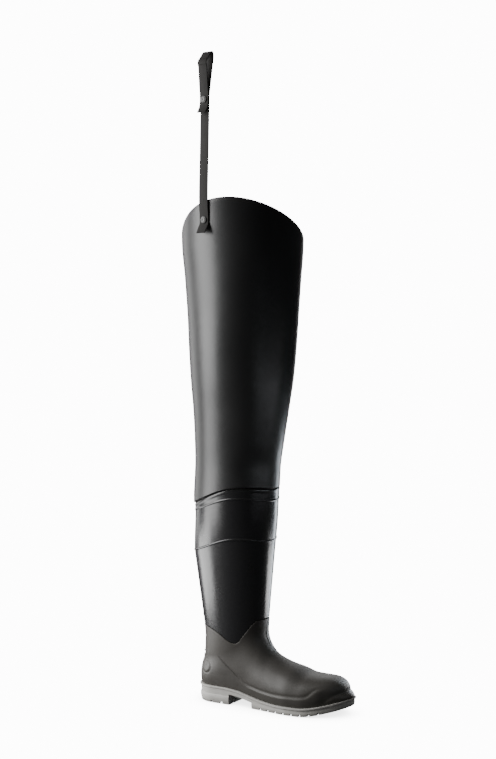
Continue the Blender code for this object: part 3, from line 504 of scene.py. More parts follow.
class Finish:
    """One material: a Principled shader, and a method that adds any other node."""

    def __init__(self, name, **values):
        self.material = bpy.data.materials.new(name)
        self.material.use_nodes = True
        self.tree = self.material.node_tree
        self.shader = self.tree.nodes["Principled BSDF"]
        for key, value in values.items():
            label = key.replace("_", " ").title().replace("Ior", "IOR")
            self.feed(self.shader.inputs[label], value)

    def feed(self, socket, value):
        if isinstance(value, Socket):
            self.tree.links.new(value.link, socket)
        elif isinstance(value, tuple) and len(value) == 3 and socket.type == "RGBA":
            socket.default_value = (*value, 1.0)
        else:
            socket.default_value = value

    def node(self, kind, settings, inputs, output=0):
        made = self.tree.nodes.new(kind)
        for key, value in settings.items():
            if key == "stops":
                for stop, (place, shade) in zip(made.color_ramp.elements, value):
                    stop.position = place
                    stop.color = (shade, shade, shade, 1.0)
            else:
                setattr(made, key, value)
        for key, value in inputs.items():
            self.feed(made.inputs[key], value)
        return Socket(self, made.outputs[output])

    def place(self):
        return self.node("ShaderNodeTexCoord", {}, {}, "Object")

    def axis(self, vector, index):
        return self.node("ShaderNodeSeparateXYZ", {}, {0: vector}, index)

    def grain(self, size, detail=2.0, roughness=0.5, stretch=None):
        """Noise with features of about a size in metres, 0 to 1."""
        where = self.place()
        if stretch:
            where = self.node("ShaderNodeMapping", {}, {"Vector": where, "Scale": stretch})
        settings = {"noise_dimensions": "3D"}
        values = {"Vector": where, "Scale": 1 / size, "Detail": detail, "Roughness": roughness}
        return self.node("ShaderNodeTexNoise", settings, values)

    def ramp(self, value, low, high):
        """A value's range from low to high spread over 0 to 1."""
        inputs = {0: value, 1: low, 2: high, 3: 0.0, 4: 1.0}
        return self.node("ShaderNodeMapRange", {"clamp": True}, inputs)

    def blend(self, share, first, second):
        """A colour mixed from two."""
        settings = {"data_type": "RGBA"}
        return self.node("ShaderNodeMix", settings, {0: share, 6: first, 7: second}, 2)

    def colour(self, value):
        self.feed(self.shader.inputs["Base Color"], value)

    def roughness(self, value):
        self.feed(self.shader.inputs["Roughness"], value)

    def relief(self, *layers):
        """Bump layers of a height socket and the depth in metres between its 0 and its 1."""
        normal = None
        for height, depth in layers:
            values = {"Height": height, "Strength": 1.0, "Distance": depth}
            if normal:
                values["Normal"] = normal
            normal = self.node("ShaderNodeBump", {}, values)
        self.feed(self.shader.inputs["Normal"], normal)


def gloss_pvc():
    """The knee boot's polished black PVC: faint orange peel, cloudy polish, a few pale rubs."""
    finish = Finish("gloss_black_pvc", specular_ior_level=0.5)
    cloud = finish.grain(0.055, 3.0)
    rub = finish.ramp(finish.grain(0.014, 4.0, 0.65, (1.0, 1.0, 0.5)), 0.58, 0.80)
    finish.colour(finish.blend(rub * 0.3, (0.0080, 0.0080, 0.0085), (0.016, 0.016, 0.0165)))
    finish.roughness(0.24 + cloud * 0.05)
    finish.relief((finish.grain(0.009, 1.0), 0.00012), (finish.grain(0.0011, 2.0), 0.00001))
    return finish.material


def matt_pvc():
    """The foot's charcoal PVC with a fine moulded grain, and the counter's groove line at the
    heel, cut in the bump and darkened with painted shade.
    """
    finish = Finish("charcoal_foot_pvc", specular_ior_level=0.32)
    cloud = finish.grain(0.030, 3.0)
    grain = finish.grain(0.0009, 2.0, 0.6)
    mottle = cloud * 0.7 + grain * 0.3
    charcoal = finish.blend(mottle, (0.030, 0.0275, 0.0240), (0.044, 0.041, 0.0365))
    (start_x, start_z), (end_x, end_z) = COUNTER_LINE
    length = math.hypot(end_x - start_x, end_z - start_z)
    run_x, run_z = (end_x - start_x) / length, (end_z - start_z) / length
    x = finish.axis(finish.place(), 0) - (HOME.x + start_x)
    z = finish.axis(finish.place(), 2) - start_z
    along, across = x * run_x + z * run_z, abs(z * run_x - x * run_z)
    far_end = finish.ramp(along, length - COUNTER_FADE, length + 0.002)
    ends = finish.ramp(along, -0.001, COUNTER_FADE) * (1 - far_end)
    line = (1 - finish.ramp(across, 0.0003, 0.0012)) * ends
    # Painted shade: the counter's groove line is darkened in the colour as well as cut by the bump
    # below.
    finish.colour(finish.blend(line * 0.55, charcoal, (0.012, 0.011, 0.010)))
    finish.roughness(0.43 + cloud * 0.06 + grain * 0.06)
    finish.relief((finish.grain(0.012, 1.0), 0.00010), (1 - line, 0.0007), (grain, 0.00006))
    return finish.material


def sheet_pvc():
    """The thigh shaft's satin black sheet, with the cloth behind it just showing as a weave."""
    finish = Finish("satin_black_sheet", specular_ior_level=0.5)
    cloud = finish.grain(0.080, 3.0)
    finish.colour(finish.blend(cloud, (0.0085, 0.0085, 0.0088), (0.0130, 0.0130, 0.0130)))
    finish.roughness(0.335 + cloud * 0.08)
    across = finish.node("ShaderNodeUVMap", {"uv_map": "Surface"}, {})
    u, v = finish.axis(across, 0), finish.axis(across, 1)
    threads = (u * SHEET_WEAVE).wave() * (v * SHEET_WEAVE).wave()
    finish.relief((finish.grain(0.020, 1.0), 0.00016), (threads * 0.5 + 0.5, 0.000012))
    return finish.material


def sole_rubber():
    """The grey sole compound: mottled and speckled, with painted shade making it darker at the
    ground.
    """
    finish = Finish("grey_sole_rubber", specular_ior_level=0.35)
    cloud = finish.grain(0.022, 4.0)
    speck = finish.grain(0.0007, 2.0, 0.6)
    height = finish.axis(finish.place(), 2)
    # Painted shade: the colour darkens towards the ground, broken up by the speckle.
    painted_ground_shade = 1 - finish.ramp(height, 0.0, 0.007)
    clean = finish.blend(cloud, (0.262, 0.255, 0.238), (0.320, 0.313, 0.294))
    finish.colour(finish.blend(painted_ground_shade * (0.25 + 0.45 * speck), clean, (0.165, 0.158, 0.145)))
    finish.roughness(0.50 + speck * 0.14)
    finish.relief((finish.grain(0.006, 2.0), 0.00010), (speck, 0.00005))
    return finish.material


def woven_lining():
    """The off-white woven lining: a plain weave with uneven yarns."""
    finish = Finish("off_white_lining", roughness=0.92, specular_ior_level=0.2, sheen_weight=0.25)
    across = finish.node("ShaderNodeUVMap", {"uv_map": "Surface"}, {})
    u, v = finish.axis(across, 0), finish.axis(across, 1)
    uneven = finish.grain(0.004, 3.0)
    warp = (u * LINING_WEAVE + uneven * 2.0).wave()
    weft = (v * LINING_WEAVE + uneven * 2.0).wave()
    weave = warp * weft * 0.5 + 0.5
    twill = ((u + v) * LINING_TWILL).wave() * 0.5 + 0.5
    shade = weave * 0.6 + uneven * 0.25 + twill * 0.15
    finish.colour(finish.blend(shade, (0.40, 0.39, 0.37), (0.63, 0.62, 0.595)))
    finish.relief((weave, 0.00030), (uneven, 0.00020))
    return finish.material


def strap_rubber():
    """The belt strap's matt black rubber, with fine cross grain."""
    finish = Finish("matt_strap_rubber", specular_ior_level=0.18)
    cloud = finish.grain(0.014, 3.0)
    cross = finish.grain(0.0014, 2.0, 0.6, (1.0, 1.0, 2.6))
    mottle = cloud * 0.6 + cross * 0.4
    finish.colour(finish.blend(mottle, (0.010, 0.0094, 0.0090), (0.020, 0.0188, 0.0178)))
    finish.roughness(0.66 + cross * 0.16)
    finish.relief((cross, 0.00004))
    return finish.material


def lacquered_metal():
    """The snaps' black lacquer over brass, worn a little on the crown."""
    finish = Finish("black_lacquer_snap", specular_ior_level=0.5)
    wear = finish.ramp(finish.grain(0.0022, 4.0, 0.7), 0.60, 0.78)
    finish.colour(finish.blend(wear, (0.022, 0.021, 0.020), (0.11, 0.095, 0.075)))
    finish.feed(finish.shader.inputs["Metallic"], 0.10 + wear * 0.5)
    finish.roughness(0.40 + wear * 0.2)
    finish.relief((finish.grain(0.0008, 2.0), 0.00002))
    return finish.material


def pressed_felt():
    """The insole's pale pressed felt."""
    finish = Finish("pressed_felt", roughness=0.95, specular_ior_level=0.15, sheen_weight=0.4)
    fibre = finish.grain(0.0012, 5.0, 0.7, (1.0, 3.0, 1.0))
    cloud = finish.grain(0.018, 3.0)
    finish.colour(finish.blend(fibre * 0.6 + cloud * 0.4, (0.33, 0.32, 0.30), (0.56, 0.55, 0.52)))
    finish.relief((fibre, 0.00035))
    return finish.material


def bent_grid(bm, places, closed_up=False):
    """A grid bent to an array of places: its columns run once round and its rows run up."""
    rows, columns = places.shape[:2]
    step = np.linalg.norm(np.roll(places, -1, axis=1) - places, axis=2).mean()
    up = np.linalg.norm(np.diff(places, axis=0), axis=2)
    along = np.concatenate([np.zeros((1, columns)), np.cumsum(up, axis=0)])
    surface = bm.loops.layers.uv.get("Surface") or bm.loops.layers.uv.new("Surface")
    verts = bmesh.ops.create_grid(bm, x_segments=columns, y_segments=rows - 1, size=1.0)["verts"]
    spots = {}
    for vert in verts:
        column = round((vert.co.x + 1) / 2 * columns)
        row = round((vert.co.y + 1) / 2 * (rows - 1))
        spots[vert] = (column, row)
        vert.co = places[row, column % columns]
    for face in {face for vert in verts for face in vert.link_faces}:
        for loop in face.loops:
            column, row = spots[loop.vert]
            loop[surface].uv = (column * step, along[row, column % columns])
    seam = [v for v, (column, row) in spots.items() if column in (0, columns)]
    if closed_up:
        seam += [v for v, (column, row) in spots.items() if row in (0, rows - 1)]
    bmesh.ops.remove_doubles(bm, verts=list(set(seam)), dist=1e-7)


def pushed_out(bm, faces):
    """Extrudes faces and gives their new vertices, still in place."""
    made = bmesh.ops.extrude_face_region(bm, geom=faces)["geom"]
    return [g for g in made if isinstance(g, bmesh.types.BMVert)]


def finished(name, bm, material, slot, *replaced, smooth=math.radians(40)):
    """A finished piece at home in the frame, riding with the wader."""
    bmesh.ops.recalc_face_normals(bm, faces=bm.faces)
    bmesh.ops.translate(bm, verts=bm.verts, vec=HOME)
    mesh = bpy.data.meshes.new(name)
    bm.to_mesh(mesh)
    bm.free()
    mesh.materials.append(material)
    mesh.shade_smooth()
    mesh.set_sharp_from_angle(angle=smooth)
    piece = bpy.data.objects.new(name, mesh)
    bpy.context.scene.collection.objects.link(piece)
    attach(piece, "root")
    if replaced:
        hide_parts(*replaced)
    return piece


def wall(name, outer, inner, material, slot, *replaced):
    """A closed wall between two stacks of rings, both listed from the bottom up."""
    bm = bmesh.new()
    bent_grid(bm, np.concatenate([outer, inner[::-1], outer[:1]]), closed_up=True)
    return finished(name, bm, material, slot, *replaced)


def knee_boot(meridians, low, border, material):
    """The glossy boot above the foot: rim band between two beads, and the lower rib."""
    angles = meridians.angles
    top, band, rib = (
        meridians.crossing(lambda x, a, drop=drop: below_top(drop, a))
        for drop in (0.0, RIM_BAND, RIB_DROP)
    )
    keys = [low, border - 0.004, border + 0.0004, border + 0.0022, border + 0.004]
    keys += [rib - 0.004, rib + 0.004, band - 0.004, band + 0.004, top - 0.0075, top]
    rows = rows_between(keys, (14, 3, 1, 4, 1, 44, 16, 26, 16, 3, 16))
    places = meridians.rows(rows)
    normals = skin_normals(places)
    seat = -SHELL_SEAT * (1 - ease((rows - (border + 0.0008)) / 0.0012))
    middles = (rib, band, top - RIB_HALF_WIDTH)
    beads = [rounded_rib(rows - line, RIB_HALF_WIDTH) for line in middles]
    ribs = RIB_HEIGHT * np.max(beads, axis=0)
    raised_band = BAND_RAISE * ease((rows - band) / 0.002)
    outer = lifted(places, normals, seat + np.maximum(ribs, raised_band))
    inner_rows = rows_between([low, border, top - WELD_LAP, top], (30, 12, 20))
    inner_places = meridians.rows(inner_rows)
    inner = lifted(inner_places, skin_normals(inner_places), -BOOT_WALL)
    inner[0, :, 2] = outer[0, :, 2]
    inner[-1, :, 2] = outer[-1, :, 2]
    wall("knee_boot", outer, inner, material, "boot_black", "upper")
    return angles, top


def foot_relief(places):
    """Height of the foot shell's raised lower panel, toe bumper and heel pads at its places."""
    x, y, z = places[..., 0], places[..., 1], places[..., 2]
    rise = z - feather(x)
    top, raised = (read(PANEL_SECTIONS, i, x / SOLE_LENGTH) for i in (1, 2))
    above = rise - RIDGE_HEIGHT * top
    raised = raised * (1 - ease((x - PANEL_TOE_END) / 0.018))
    hollow = HOLLOW_DEPTH * np.exp(-(((above - HOLLOW_RISE) / HOLLOW_WIDTH) ** 2))
    panel = raised * (PANEL_RAISE * ease(0.5 - above / PANEL_EDGE) - hollow)
    bumper_top = BUMPER_HEIGHT * ease((x - BUMPER_START) / 0.028)
    bumper = BUMPER_RAISE * ease(0.5 - (rise - bumper_top) / BUMPER_EDGE)
    bumper = bumper * ease((x - BUMPER_START) / 0.02)
    away = np.hypot(x - PAD_PLACE[0], z - PAD_PLACE[1])
    pad = PAD_RAISE * ease((PAD_RADIUS - away) / PAD_EDGE)
    moat = -MOAT_DEPTH * np.clip(1 - np.abs(away - MOAT_RADIUS) / MOAT_WIDTH, 0, 1)
    return panel + bumper + pad + moat


def foot_shell(meridians, low, border, material):
    """The matt foot, with its moulded relief."""
    share = (np.arange(101) / 100) ** 1.15
    rows = low + (border - 0.0016 - low) * share[:, None]
    edge = border - np.array([0.0012, 0.0008, 0.0005, 0.0003])[:, None]
    rows = np.concatenate([rows, edge])
    places = meridians.rows(rows)
    normals = skin_normals(places)
    lift = GAP - SHELL_SEAT
    to_edge = np.clip((rows - (border - 0.0014)) / 0.0011, 0, 1)
    turned = SHELL_WALL * (1 - np.sqrt(1 - 0.92 * to_edge**2))
    outer = lifted(places, normals, lift + SHELL_WALL - turned + foot_relief(places))
    outer[0, :, 2] = places[0, :, 2]
    inner = lifted(places[::4], normals[::4], lift)
    inner[0, :, 2] = outer[0, :, 2]
    wall("foot_shell_skin", outer, inner, material, "shell_charcoal", "foot_shell")


def sheet_waver(places):
    """Soft unevenness of the welded sheet, and a dent above the rim."""
    x, y, z = (places[..., i] for i in range(3))
    turn = np.arctan2(y, x - 0.088)
    slow = np.sin(3 * turn + 9.0 * z + 0.6) * np.sin(11.0 * z + 0.4)
    slow = slow + 0.6 * np.sin(5 * turn - 14.0 * z)
    grow = ease((z - 0.43) / 0.12) * (1 - 0.4 * ease((z - 0.8) / 0.1))
    aside = (np.cos(turn - DENT_TURN) - 1) / 0.10
    dent = -DENT_DEPTH * np.exp(-(((z - DENT_HEIGHT) / 0.022) ** 2) - aside**2)
    return SHEET_WAVER * slow * grow + dent


def thigh_rings(meridians, top):
    """Outer rings of the thigh shaft from its lap inside the boot to the collar."""
    angles = meridians.angles
    lap_places = meridians.rows(rows_between([top - WELD_LAP, top], (10,)))
    lap = lifted(lap_places, skin_normals(lap_places), -BOOT_WALL)
    lap[..., 2] = lap_places[..., 2]
    inward = (lap - lap.mean(axis=1, keepdims=True)) * [1, 1, 0]
    lap = lap - inward / np.linalg.norm(inward, axis=2, keepdims=True) * WELD_GAP
    start = boot_top(angles)
    rise = collar_line(angles) - start
    shares = np.concatenate([np.linspace(0.003, 0.05, 14), np.linspace(0.06, 1.0, 110)])
    heights = start + rise * shares[:, None]
    flat = np.zeros(heights.size)
    origins = np.stack([flat + AXIS_X, flat, heights.ravel()], axis=1)
    spokes = np.stack([np.cos(angles), np.sin(angles), np.zeros(SPOKES)], axis=1)
    spokes = np.tile(spokes, (len(shares), 1))
    free = surface_hits(thigh_form, origins, spokes, 1.2 * THIGH_DIAMETER)
    free = free.reshape(len(shares), SPOKES, 3)
    blend = ease(rise * shares[:, None] / FLARE_HEIGHT)[..., None]
    neck = lap[-1] * [1, 1, 0] + free * [0, 0, 1]
    free = neck * (1 - blend) + free * blend
    return np.concatenate([lap, free])


def flat_normals(places):
    """Normals without their upward part, for a wall that keeps its level edges."""
    normals = skin_normals(places) * [1, 1, 0]
    return normals / np.linalg.norm(normals, axis=2, keepdims=True)


def thigh_shaft(rings, material):
    """The welded sheet tube with a softened collar edge."""
    normals = flat_normals(rings)
    outer = lifted(rings, normals, sheet_waver(rings))
    inner = lifted(outer, normals, -THIGH_WALL)
    outer[-1] = outer[-1] - normals[-1] * SOFT_EDGE
    outer[-2, :, 2] = outer[-1, :, 2] - 0.0005
    inner = np.concatenate([inner[:-1:2], inner[-1:]])
    inner[-1] = inner[-1] + normals[-1] * SOFT_EDGE
    wall("thigh_tube", outer, inner, material, "sheet_black", "thigh_shaft")


def lining(meridians, low, rings, top, material):
    """The woven lining inside the tube, from below the collar hem down to the insole."""
    normals = flat_normals(rings)
    skin = lifted(rings, normals, sheet_waver(rings) - THIGH_WALL - LINING_GAP)
    hem = collar_line(meridians.angles) - HEM_DEPTH
    share = (hem - skin[-3, :, 2]) / (skin[-1, :, 2] - skin[-3, :, 2])
    last = skin[-3] + (skin[-1] - skin[-3]) * share[:, None]
    skin = np.concatenate([skin[:-3:2], last[None]])
    back = lifted(skin, flat_normals(skin), -0.0006)
    wall("thigh_lining", skin, back, material, "felt_grey")
    rows = rows_between([low + 0.004, top - WELD_LAP + 0.004], (90,))
    places = meridians.rows(rows)
    normals = skin_normals(places)
    skin = lifted(places, normals, -BOOT_WALL - LINING_GAP)
    back = lifted(places, normals, -BOOT_WALL - LINING_GAP - LINING_THICKNESS)
    wall("boot_lining", skin, back, material, "felt_grey")


def groove(bm, path, width, depth=TREAD_DEPTH):
    """A closed cutter along a plan path, reaching a depth above the tread's underside."""
    path = np.array(path, float)
    tangent = np.gradient(path, axis=0)
    side = np.stack([-tangent[:, 1], tangent[:, 0]], axis=1)
    side *= width / 2 / np.linalg.norm(side, axis=1, keepdims=True)
    count = len(path)
    verts = bmesh.ops.create_grid(bm, x_segments=count - 1, y_segments=1, size=1.0)["verts"]
    for vert in verts:
        i = round((vert.co.x + 1) / 2 * (count - 1))
        spot = path[i] + side[i] * round(vert.co.y)
        vert.co = (spot[0], spot[1], -0.02)
    faces = list({face for vert in verts for face in vert.link_faces})
    for vert in pushed_out(bm, faces):
        vert.co.z = float(ground(np.clip(vert.co.x, 0, SOLE_LENGTH))) + depth


def edge_point(share, side, inset):
    """A plan point inside the sole's edge: side 1 is the inner edge and -1 the outer one."""
    x = share * SOLE_LENGTH
    middle, inner, outer = (float(v) for v in foot_outline(np.array(x)))
    return np.array([x, middle + (inner - inset if side > 0 else -(outer - inset))])


def slanted(share, side, inside, outside):
    """A groove's two ends across the sole's edge, the outer one turned towards the toe."""
    start = edge_point(share, side, inside)
    end = edge_point(share, side, outside)
    end[0] += (end[1] - start[1]) * side * math.tan(LUG_SLANT)
    return [start, end]


def compass(degrees):
    """A direction in plan."""
    return np.array([math.cos(math.radians(degrees)), math.sin(math.radians(degrees))])


def tread_cutters():
    """Everything that is cut out of the sole's underside."""
    bm = bmesh.new()
    for side in (1, -1):
        shares = np.linspace(0.435, 0.845, 21)
        groove(bm, [edge_point(s, side, RING_INSET) for s in shares], GROOVE_WIDTH)
        for share in np.linspace(0.455, 0.835, 8):
            groove(bm, slanted(share, side, 0.017, -0.006), LUG_GAP)
        for share in np.linspace(0.482, 0.808, 7):
            groove(bm, slanted(share, side, 0.0135, 0.006), SIPE_WIDTH, SIPE_DEPTH)
    for share in (0.485, 0.570, 0.655, 0.740):
        inner, outer = (edge_point(share, side, 0.019) for side in (1, -1))
        tip = (inner + outer) / 2 + [0.013, 0]
        groove(bm, [outer, tip, inner], GROOVE_WIDTH)
        ends = (outer + tip) / 2 + [0.010, 0.004], (inner + tip) / 2 + [0.010, -0.004]
        groove(bm, [ends[0], tip + [0.010, 0], ends[1]], 0.0018, 0.0024)
    toe = edge_point(0.84, 1, 0.052)
    for degrees in (-24, 24):
        ray = compass(degrees)
        groove(bm, [toe + ray * 0.012, toe + ray * 0.07], GROOVE_WIDTH)
    radius = 0.36 * BALL_WIDTH - 0.017
    turns = np.linspace(-1.5708, 1.5708, 17)
    bend = [(HEEL_ROUND - radius * math.cos(t), radius * math.sin(t)) for t in turns]
    straight = HEEL_LENGTH + 0.004
    groove(bm, [(straight, -radius)] + bend + [(straight, radius)], GROOVE_WIDTH)
    heel = np.array([HEEL_ROUND, 0.0])
    for degrees in (62, 92, 122, 158, 202, 238, 268, 298):
        ray = compass(degrees)
        groove(bm, [heel + ray * (radius + 0.003), heel + ray * 0.052], 0.0038)
    for y in (-0.007, 0.007):
        groove(bm, [(0.058, y), (0.071, y)], 0.0030, 0.0030)
    turns = np.linspace(0.15, 6.13, 25)
    oval = [(HEEL_ROUND + 0.0095 * math.cos(t), 0.0065 * math.sin(t)) for t in turns]
    groove(bm, oval, 0.0024, 0.0026)
    return bm


def arch_cutter():
    """The hollow between heel breast and forefoot, under the shank."""
    bm = bmesh.new()
    verts = bmesh.ops.create_grid(bm, x_segments=12, y_segments=1, size=1.0)["verts"]
    for vert in verts:
        share = (vert.co.x + 1) / 2
        vert.co = (HEEL_LENGTH + ARCH_LENGTH * share, BALL_WIDTH * vert.co.y, -0.02)
    faces = list({face for vert in verts for face in vert.link_faces})
    for vert in pushed_out(bm, faces):
        vert.co.z = float(feather(vert.co.x)) - SHANK_THICKNESS
    return bm


def as_object(name, bm):
    """A plain object for a Boolean."""
    bmesh.ops.recalc_face_normals(bm, faces=bm.faces)
    mesh = bpy.data.meshes.new(name)
    bm.to_mesh(mesh)
    bm.free()
    made = bpy.data.objects.new(name, mesh)
    bpy.context.scene.collection.objects.link(made)
    return made


def sole_block():
    """The uncut sole: an outline swept up through its side profile, bridged above and below."""
    rings = []
    for reach, heel_step, share, drop in SOLE_PROFILE:
        loop = sole_loop(SOLE_STATIONS, 0.0)
        along = np.clip(loop[:, 0], 0, SOLE_LENGTH)
        out = reach + heel_step * (1 - ease((along - 0.074) / 0.012))
        loop = sole_loop(SOLE_STATIONS, out)
        low = ground(along)
        rings.append(np.column_stack([loop, low + (feather(along) - low) * share + drop]))
    bm = bmesh.new()
    bent_grid(bm, np.array(rings))
    for level in (0, -1):
        ring = [Vector(p) for p in rings[level]]
        rim = {}
        for vert in bm.verts:
            if any(e.is_boundary for e in vert.link_edges):
                for i, p in enumerate(ring):
                    if (vert.co - p).length < 1e-6:
                        rim[i] = vert
        last = SOLE_STATIONS - 1
        count = len(ring)
        chains = [
            [bm.edges.get((rim[i], rim[i + 1])) for i in range(1, last - 1)],
            [bm.edges.get((rim[i], rim[(i + 1) % count])) for i in range(last + 1, count - 1)],
        ]
        bmesh.ops.bridge_loops(bm, edges=chains[0] + chains[1])
    bmesh.ops.holes_fill(bm, edges=[e for e in bm.edges if e.is_boundary], sides=4)
    return bm


def outsole(material):
    """The sole with arch and tread cut away, and its cut edges softened."""
    block = as_object("sole_block", sole_block())
    cutters = [as_object("arch_cut", arch_cutter()), as_object("tread_cut", tread_cutters())]
    for cutter in cutters:
        cut = block.modifiers.new(cutter.name, "BOOLEAN")
        cut.operation = "DIFFERENCE"
        cut.object = cutter
        cut.solver = "EXACT"
        cut.use_self = True
    graph = bpy.context.evaluated_depsgraph_get()
    bm = bmesh.new()
    bm.from_mesh(block.evaluated_get(graph).to_mesh())
    for made in (block, *cutters):
        bpy.data.objects.remove(made)
    bmesh.ops.remove_doubles(bm, verts=bm.verts, dist=1e-5)
    sole = finished("outsole_tread", bm, material, "sole_grey", "outsole", smooth=math.radians(32))
    soft = sole.modifiers.new("soft_edges", "BEVEL")
    soft.width = 0.00045
    soft.segments = 2
    soft.limit_method = "ANGLE"
    soft.angle_limit = math.radians(50)
    return sole


def shank_plate(material):
    """The plain raised plate under the arch."""
    bm = bmesh.new()
    verts = bmesh.ops.create_grid(bm, x_segments=8, y_segments=2, size=1.0)["verts"]
    for vert in verts:
        x = HEEL_LENGTH + ARCH_LENGTH * (0.12 + 0.76 * (vert.co.x + 1) / 2)
        vert.co = (x, 0.013 * vert.co.y - 0.001, float(feather(x)) - SHANK_THICKNESS + 0.001)
    for vert in pushed_out(bm, list(bm.faces)):
        vert.co.z -= 0.0022
    rim = [e for e in bm.edges if e.calc_face_angle(0) > 1.0]
    bmesh.ops.bevel(
        bm, geom=rim, offset=0.0008, segments=3, profile=0.5, affect="EDGES", material=-1
    )
    return finished("shank_plate", bm, material, "sole_grey")


class StrapFrame:
    """The stud's place on the thigh shaft. Local X runs across the strap, Y out and Z up."""

    def __init__(self):
        origin = np.array([[AXIS_X, 0.0, STUD_HEIGHT]])
        turn = np.array([[math.cos(STUD_TURN), math.sin(STUD_TURN), 0.0]])
        place = Vector(surface_hits(thigh_form, origin, turn, 1.2 * THIGH_DIAMETER)[0])
        ahead = THIGH_DIAMETER * float(read(THIGH_SECTIONS, 1, 1.0))
        up = Vector((0, 0, 1))
        out = Vector((place.x - ahead, place.y, 0)).normalized()
        self.matrix = Matrix((out.cross(up), out, up)).transposed().to_4x4()
        self.matrix.translation = place


def strap_lean(up):
    """How far the strap leans in over the leg at a height above the stud."""
    return STRAP_LEAN * max(up - 0.035, 0) / SNAP_RISE


def strap_path():
    """The strap's middle line as (out, up) points: lower tab, round the loop, upper tab."""
    seat = PRESS_GAP + STRAP_THICKNESS / 2
    lift = seat + STRAP_STAND_OFF
    over = lift + STRAP_THICKNESS + PRESS_GAP
    snap = SNAP_RISE
    top = snap + LOOP_LENGTH
    half = LOOP_OPENING / 2
    beside = 1.1 * SNAP_RADIUS
    start = float(collar_line(STUD_TURN)) - STUD_HEIGHT
    path = [
        (seat + 0.010, -STRAP_TAB), (seat + 0.0045, -0.6 * STRAP_TAB),
        (seat, -SNAP_RADIUS), (seat, SNAP_RADIUS),
        (lift, start), (lift, 0.5 * (start + snap)), (lift, snap - beside),
        (lift, snap + beside), (lift - 0.25 * half, snap + 0.30 * LOOP_LENGTH),
        (lift - 0.75 * half, snap + 0.72 * LOOP_LENGTH), (lift - 0.95 * half, top - 0.009),
        (lift - 0.85 * half, top - 0.002), (lift - 0.50 * half, top),
        (lift + 0.55 * half, top - 0.013), (lift + 0.95 * half, top - 0.018),
        (lift + 1.02 * half, top - 0.024), (lift + 0.90 * half, snap + 0.70 * LOOP_LENGTH),
        (over + 0.25 * half, snap + 0.32 * LOOP_LENGTH), (over, snap + beside),
        (over, snap - beside), (over + 0.002, snap - 0.6 * STRAP_TAB),
        (over + 0.0075, snap - STRAP_TAB),
    ]
    return [(out - strap_lean(up), up) for out, up in path]


def smooth_path(points, pieces):
    """A rounder path through the same points, by a centripetal spline."""
    p = np.array(points)
    p = np.vstack([2 * p[0] - p[1], p, 2 * p[-1] - p[-2]])
    k = np.concatenate([[0], np.cumsum(np.linalg.norm(np.diff(p, axis=0), axis=1) ** 0.5)])
    made = []
    for i in range(1, len(p) - 2):
        for t in np.linspace(k[i], k[i + 1], pieces, endpoint=False):
            a = [
                p[j] + (p[j + 1] - p[j]) * (t - k[j]) / (k[j + 1] - k[j])
                for j in (i - 1, i, i + 1)
            ]
            b = [
                a[j] + (a[j + 1] - a[j]) * (t - k[i - 1 + j]) / (k[i + 1 + j] - k[i - 1 + j])
                for j in (0, 1)
            ]
            made.append(b[0] + (b[1] - b[0]) * (t - k[i]) / (k[i + 1] - k[i]))
    return np.array(made + [p[-2]])


def strap(home, material):
    """The flat strap with softened edges, bent along its path."""
    path = smooth_path(strap_path(), 9)
    tangent = np.gradient(path, axis=0)
    side = np.stack([-tangent[:, 1], tangent[:, 0]], axis=1)
    side /= np.linalg.norm(side, axis=1, keepdims=True)
    flat_width = STRAP_WIDTH / 2 - STRAP_EDGE
    flat_thick = STRAP_THICKNESS / 2 - STRAP_EDGE
    section = []
    for cx, cy, first in ((1, 1, 0), (-1, 1, 90), (-1, -1, 180), (1, -1, 270)):
        for degrees in (0, 30, 60, 90):
            round_x, round_y = compass(first + degrees) * STRAP_EDGE
            section.append((cx * flat_width + round_x, cy * flat_thick + round_y))
    places = np.array([
        [(a, q[0] + s[0] * b, q[1] + s[1] * b) for a, b in section] for q, s in zip(path, side)
    ])
    bm = bmesh.new()
    bent_grid(bm, places)
    bmesh.ops.holes_fill(bm, edges=[e for e in bm.edges if e.is_boundary], sides=0)
    bmesh.ops.transform(bm, matrix=home.matrix, verts=bm.verts)
    return finished("belt_strap", bm, material, "strap_black", "strap")


def snap(home, name, replaced, up, back, front, material):
    """A snap's domed cap with a rolled rim and a dimple, its post and its washer, spun in one."""
    r = SNAP_RADIUS
    profile = [
        (0.0, back - 0.0010), (0.80 * r, back - 0.0010), (0.85 * r, back - 0.0007),
        (0.85 * r, back), (0.33 * r, back), (0.33 * r, front), (0.94 * r, front),
        (r, front + 0.0003), (r, front + 0.0008), (0.93 * r, front + 0.0012),
        (0.80 * r, front + 0.0012), (0.74 * r, front + 0.0015), (0.60 * r, front + 0.0019),
        (0.40 * r, front + 0.0020), (0.30 * r, front + 0.0017), (0.0, front + 0.0015),
    ]
    bm = bmesh.new()
    verts = [bm.verts.new((a, out, up)) for a, out in profile]
    edges = [bm.edges.new(pair) for pair in zip(verts, verts[1:])]
    bmesh.ops.spin(
        bm, geom=verts + edges, cent=(0, 0, up), axis=(0, 1, 0), angle=2 * math.pi,
        steps=40, use_merge=True,
    )
    bmesh.ops.remove_doubles(bm, verts=bm.verts, dist=1e-6)
    bmesh.ops.transform(bm, matrix=home.matrix, verts=bm.verts)
    return finished(name, bm, material, "snap_metal", replaced)


def softbox(name, turn, height, distance, size, power, colour=(1, 1, 1), aim=0.55):
    """A soft light. turn is degrees from the camera's direction, to its right when positive."""
    lamp = bpy.data.lights.new(name, "AREA")
    lamp.shape = "RECTANGLE"
    lamp.size, lamp.size_y = size
    lamp.energy = power
    lamp.color = colour
    towards, aside = compass(turn)
    spot = LEG + (TO_CAMERA * towards + RIGHT * aside) * distance
    spot.z = height
    made = bpy.data.objects.new(name, lamp)
    made.location = spot
    made.rotation_euler = (LEG + Vector((0, 0, aim)) - spot).to_track_quat("-Z", "Y").to_euler()
    made.visible_camera = False
    bpy.context.scene.collection.objects.link(made)
    return made


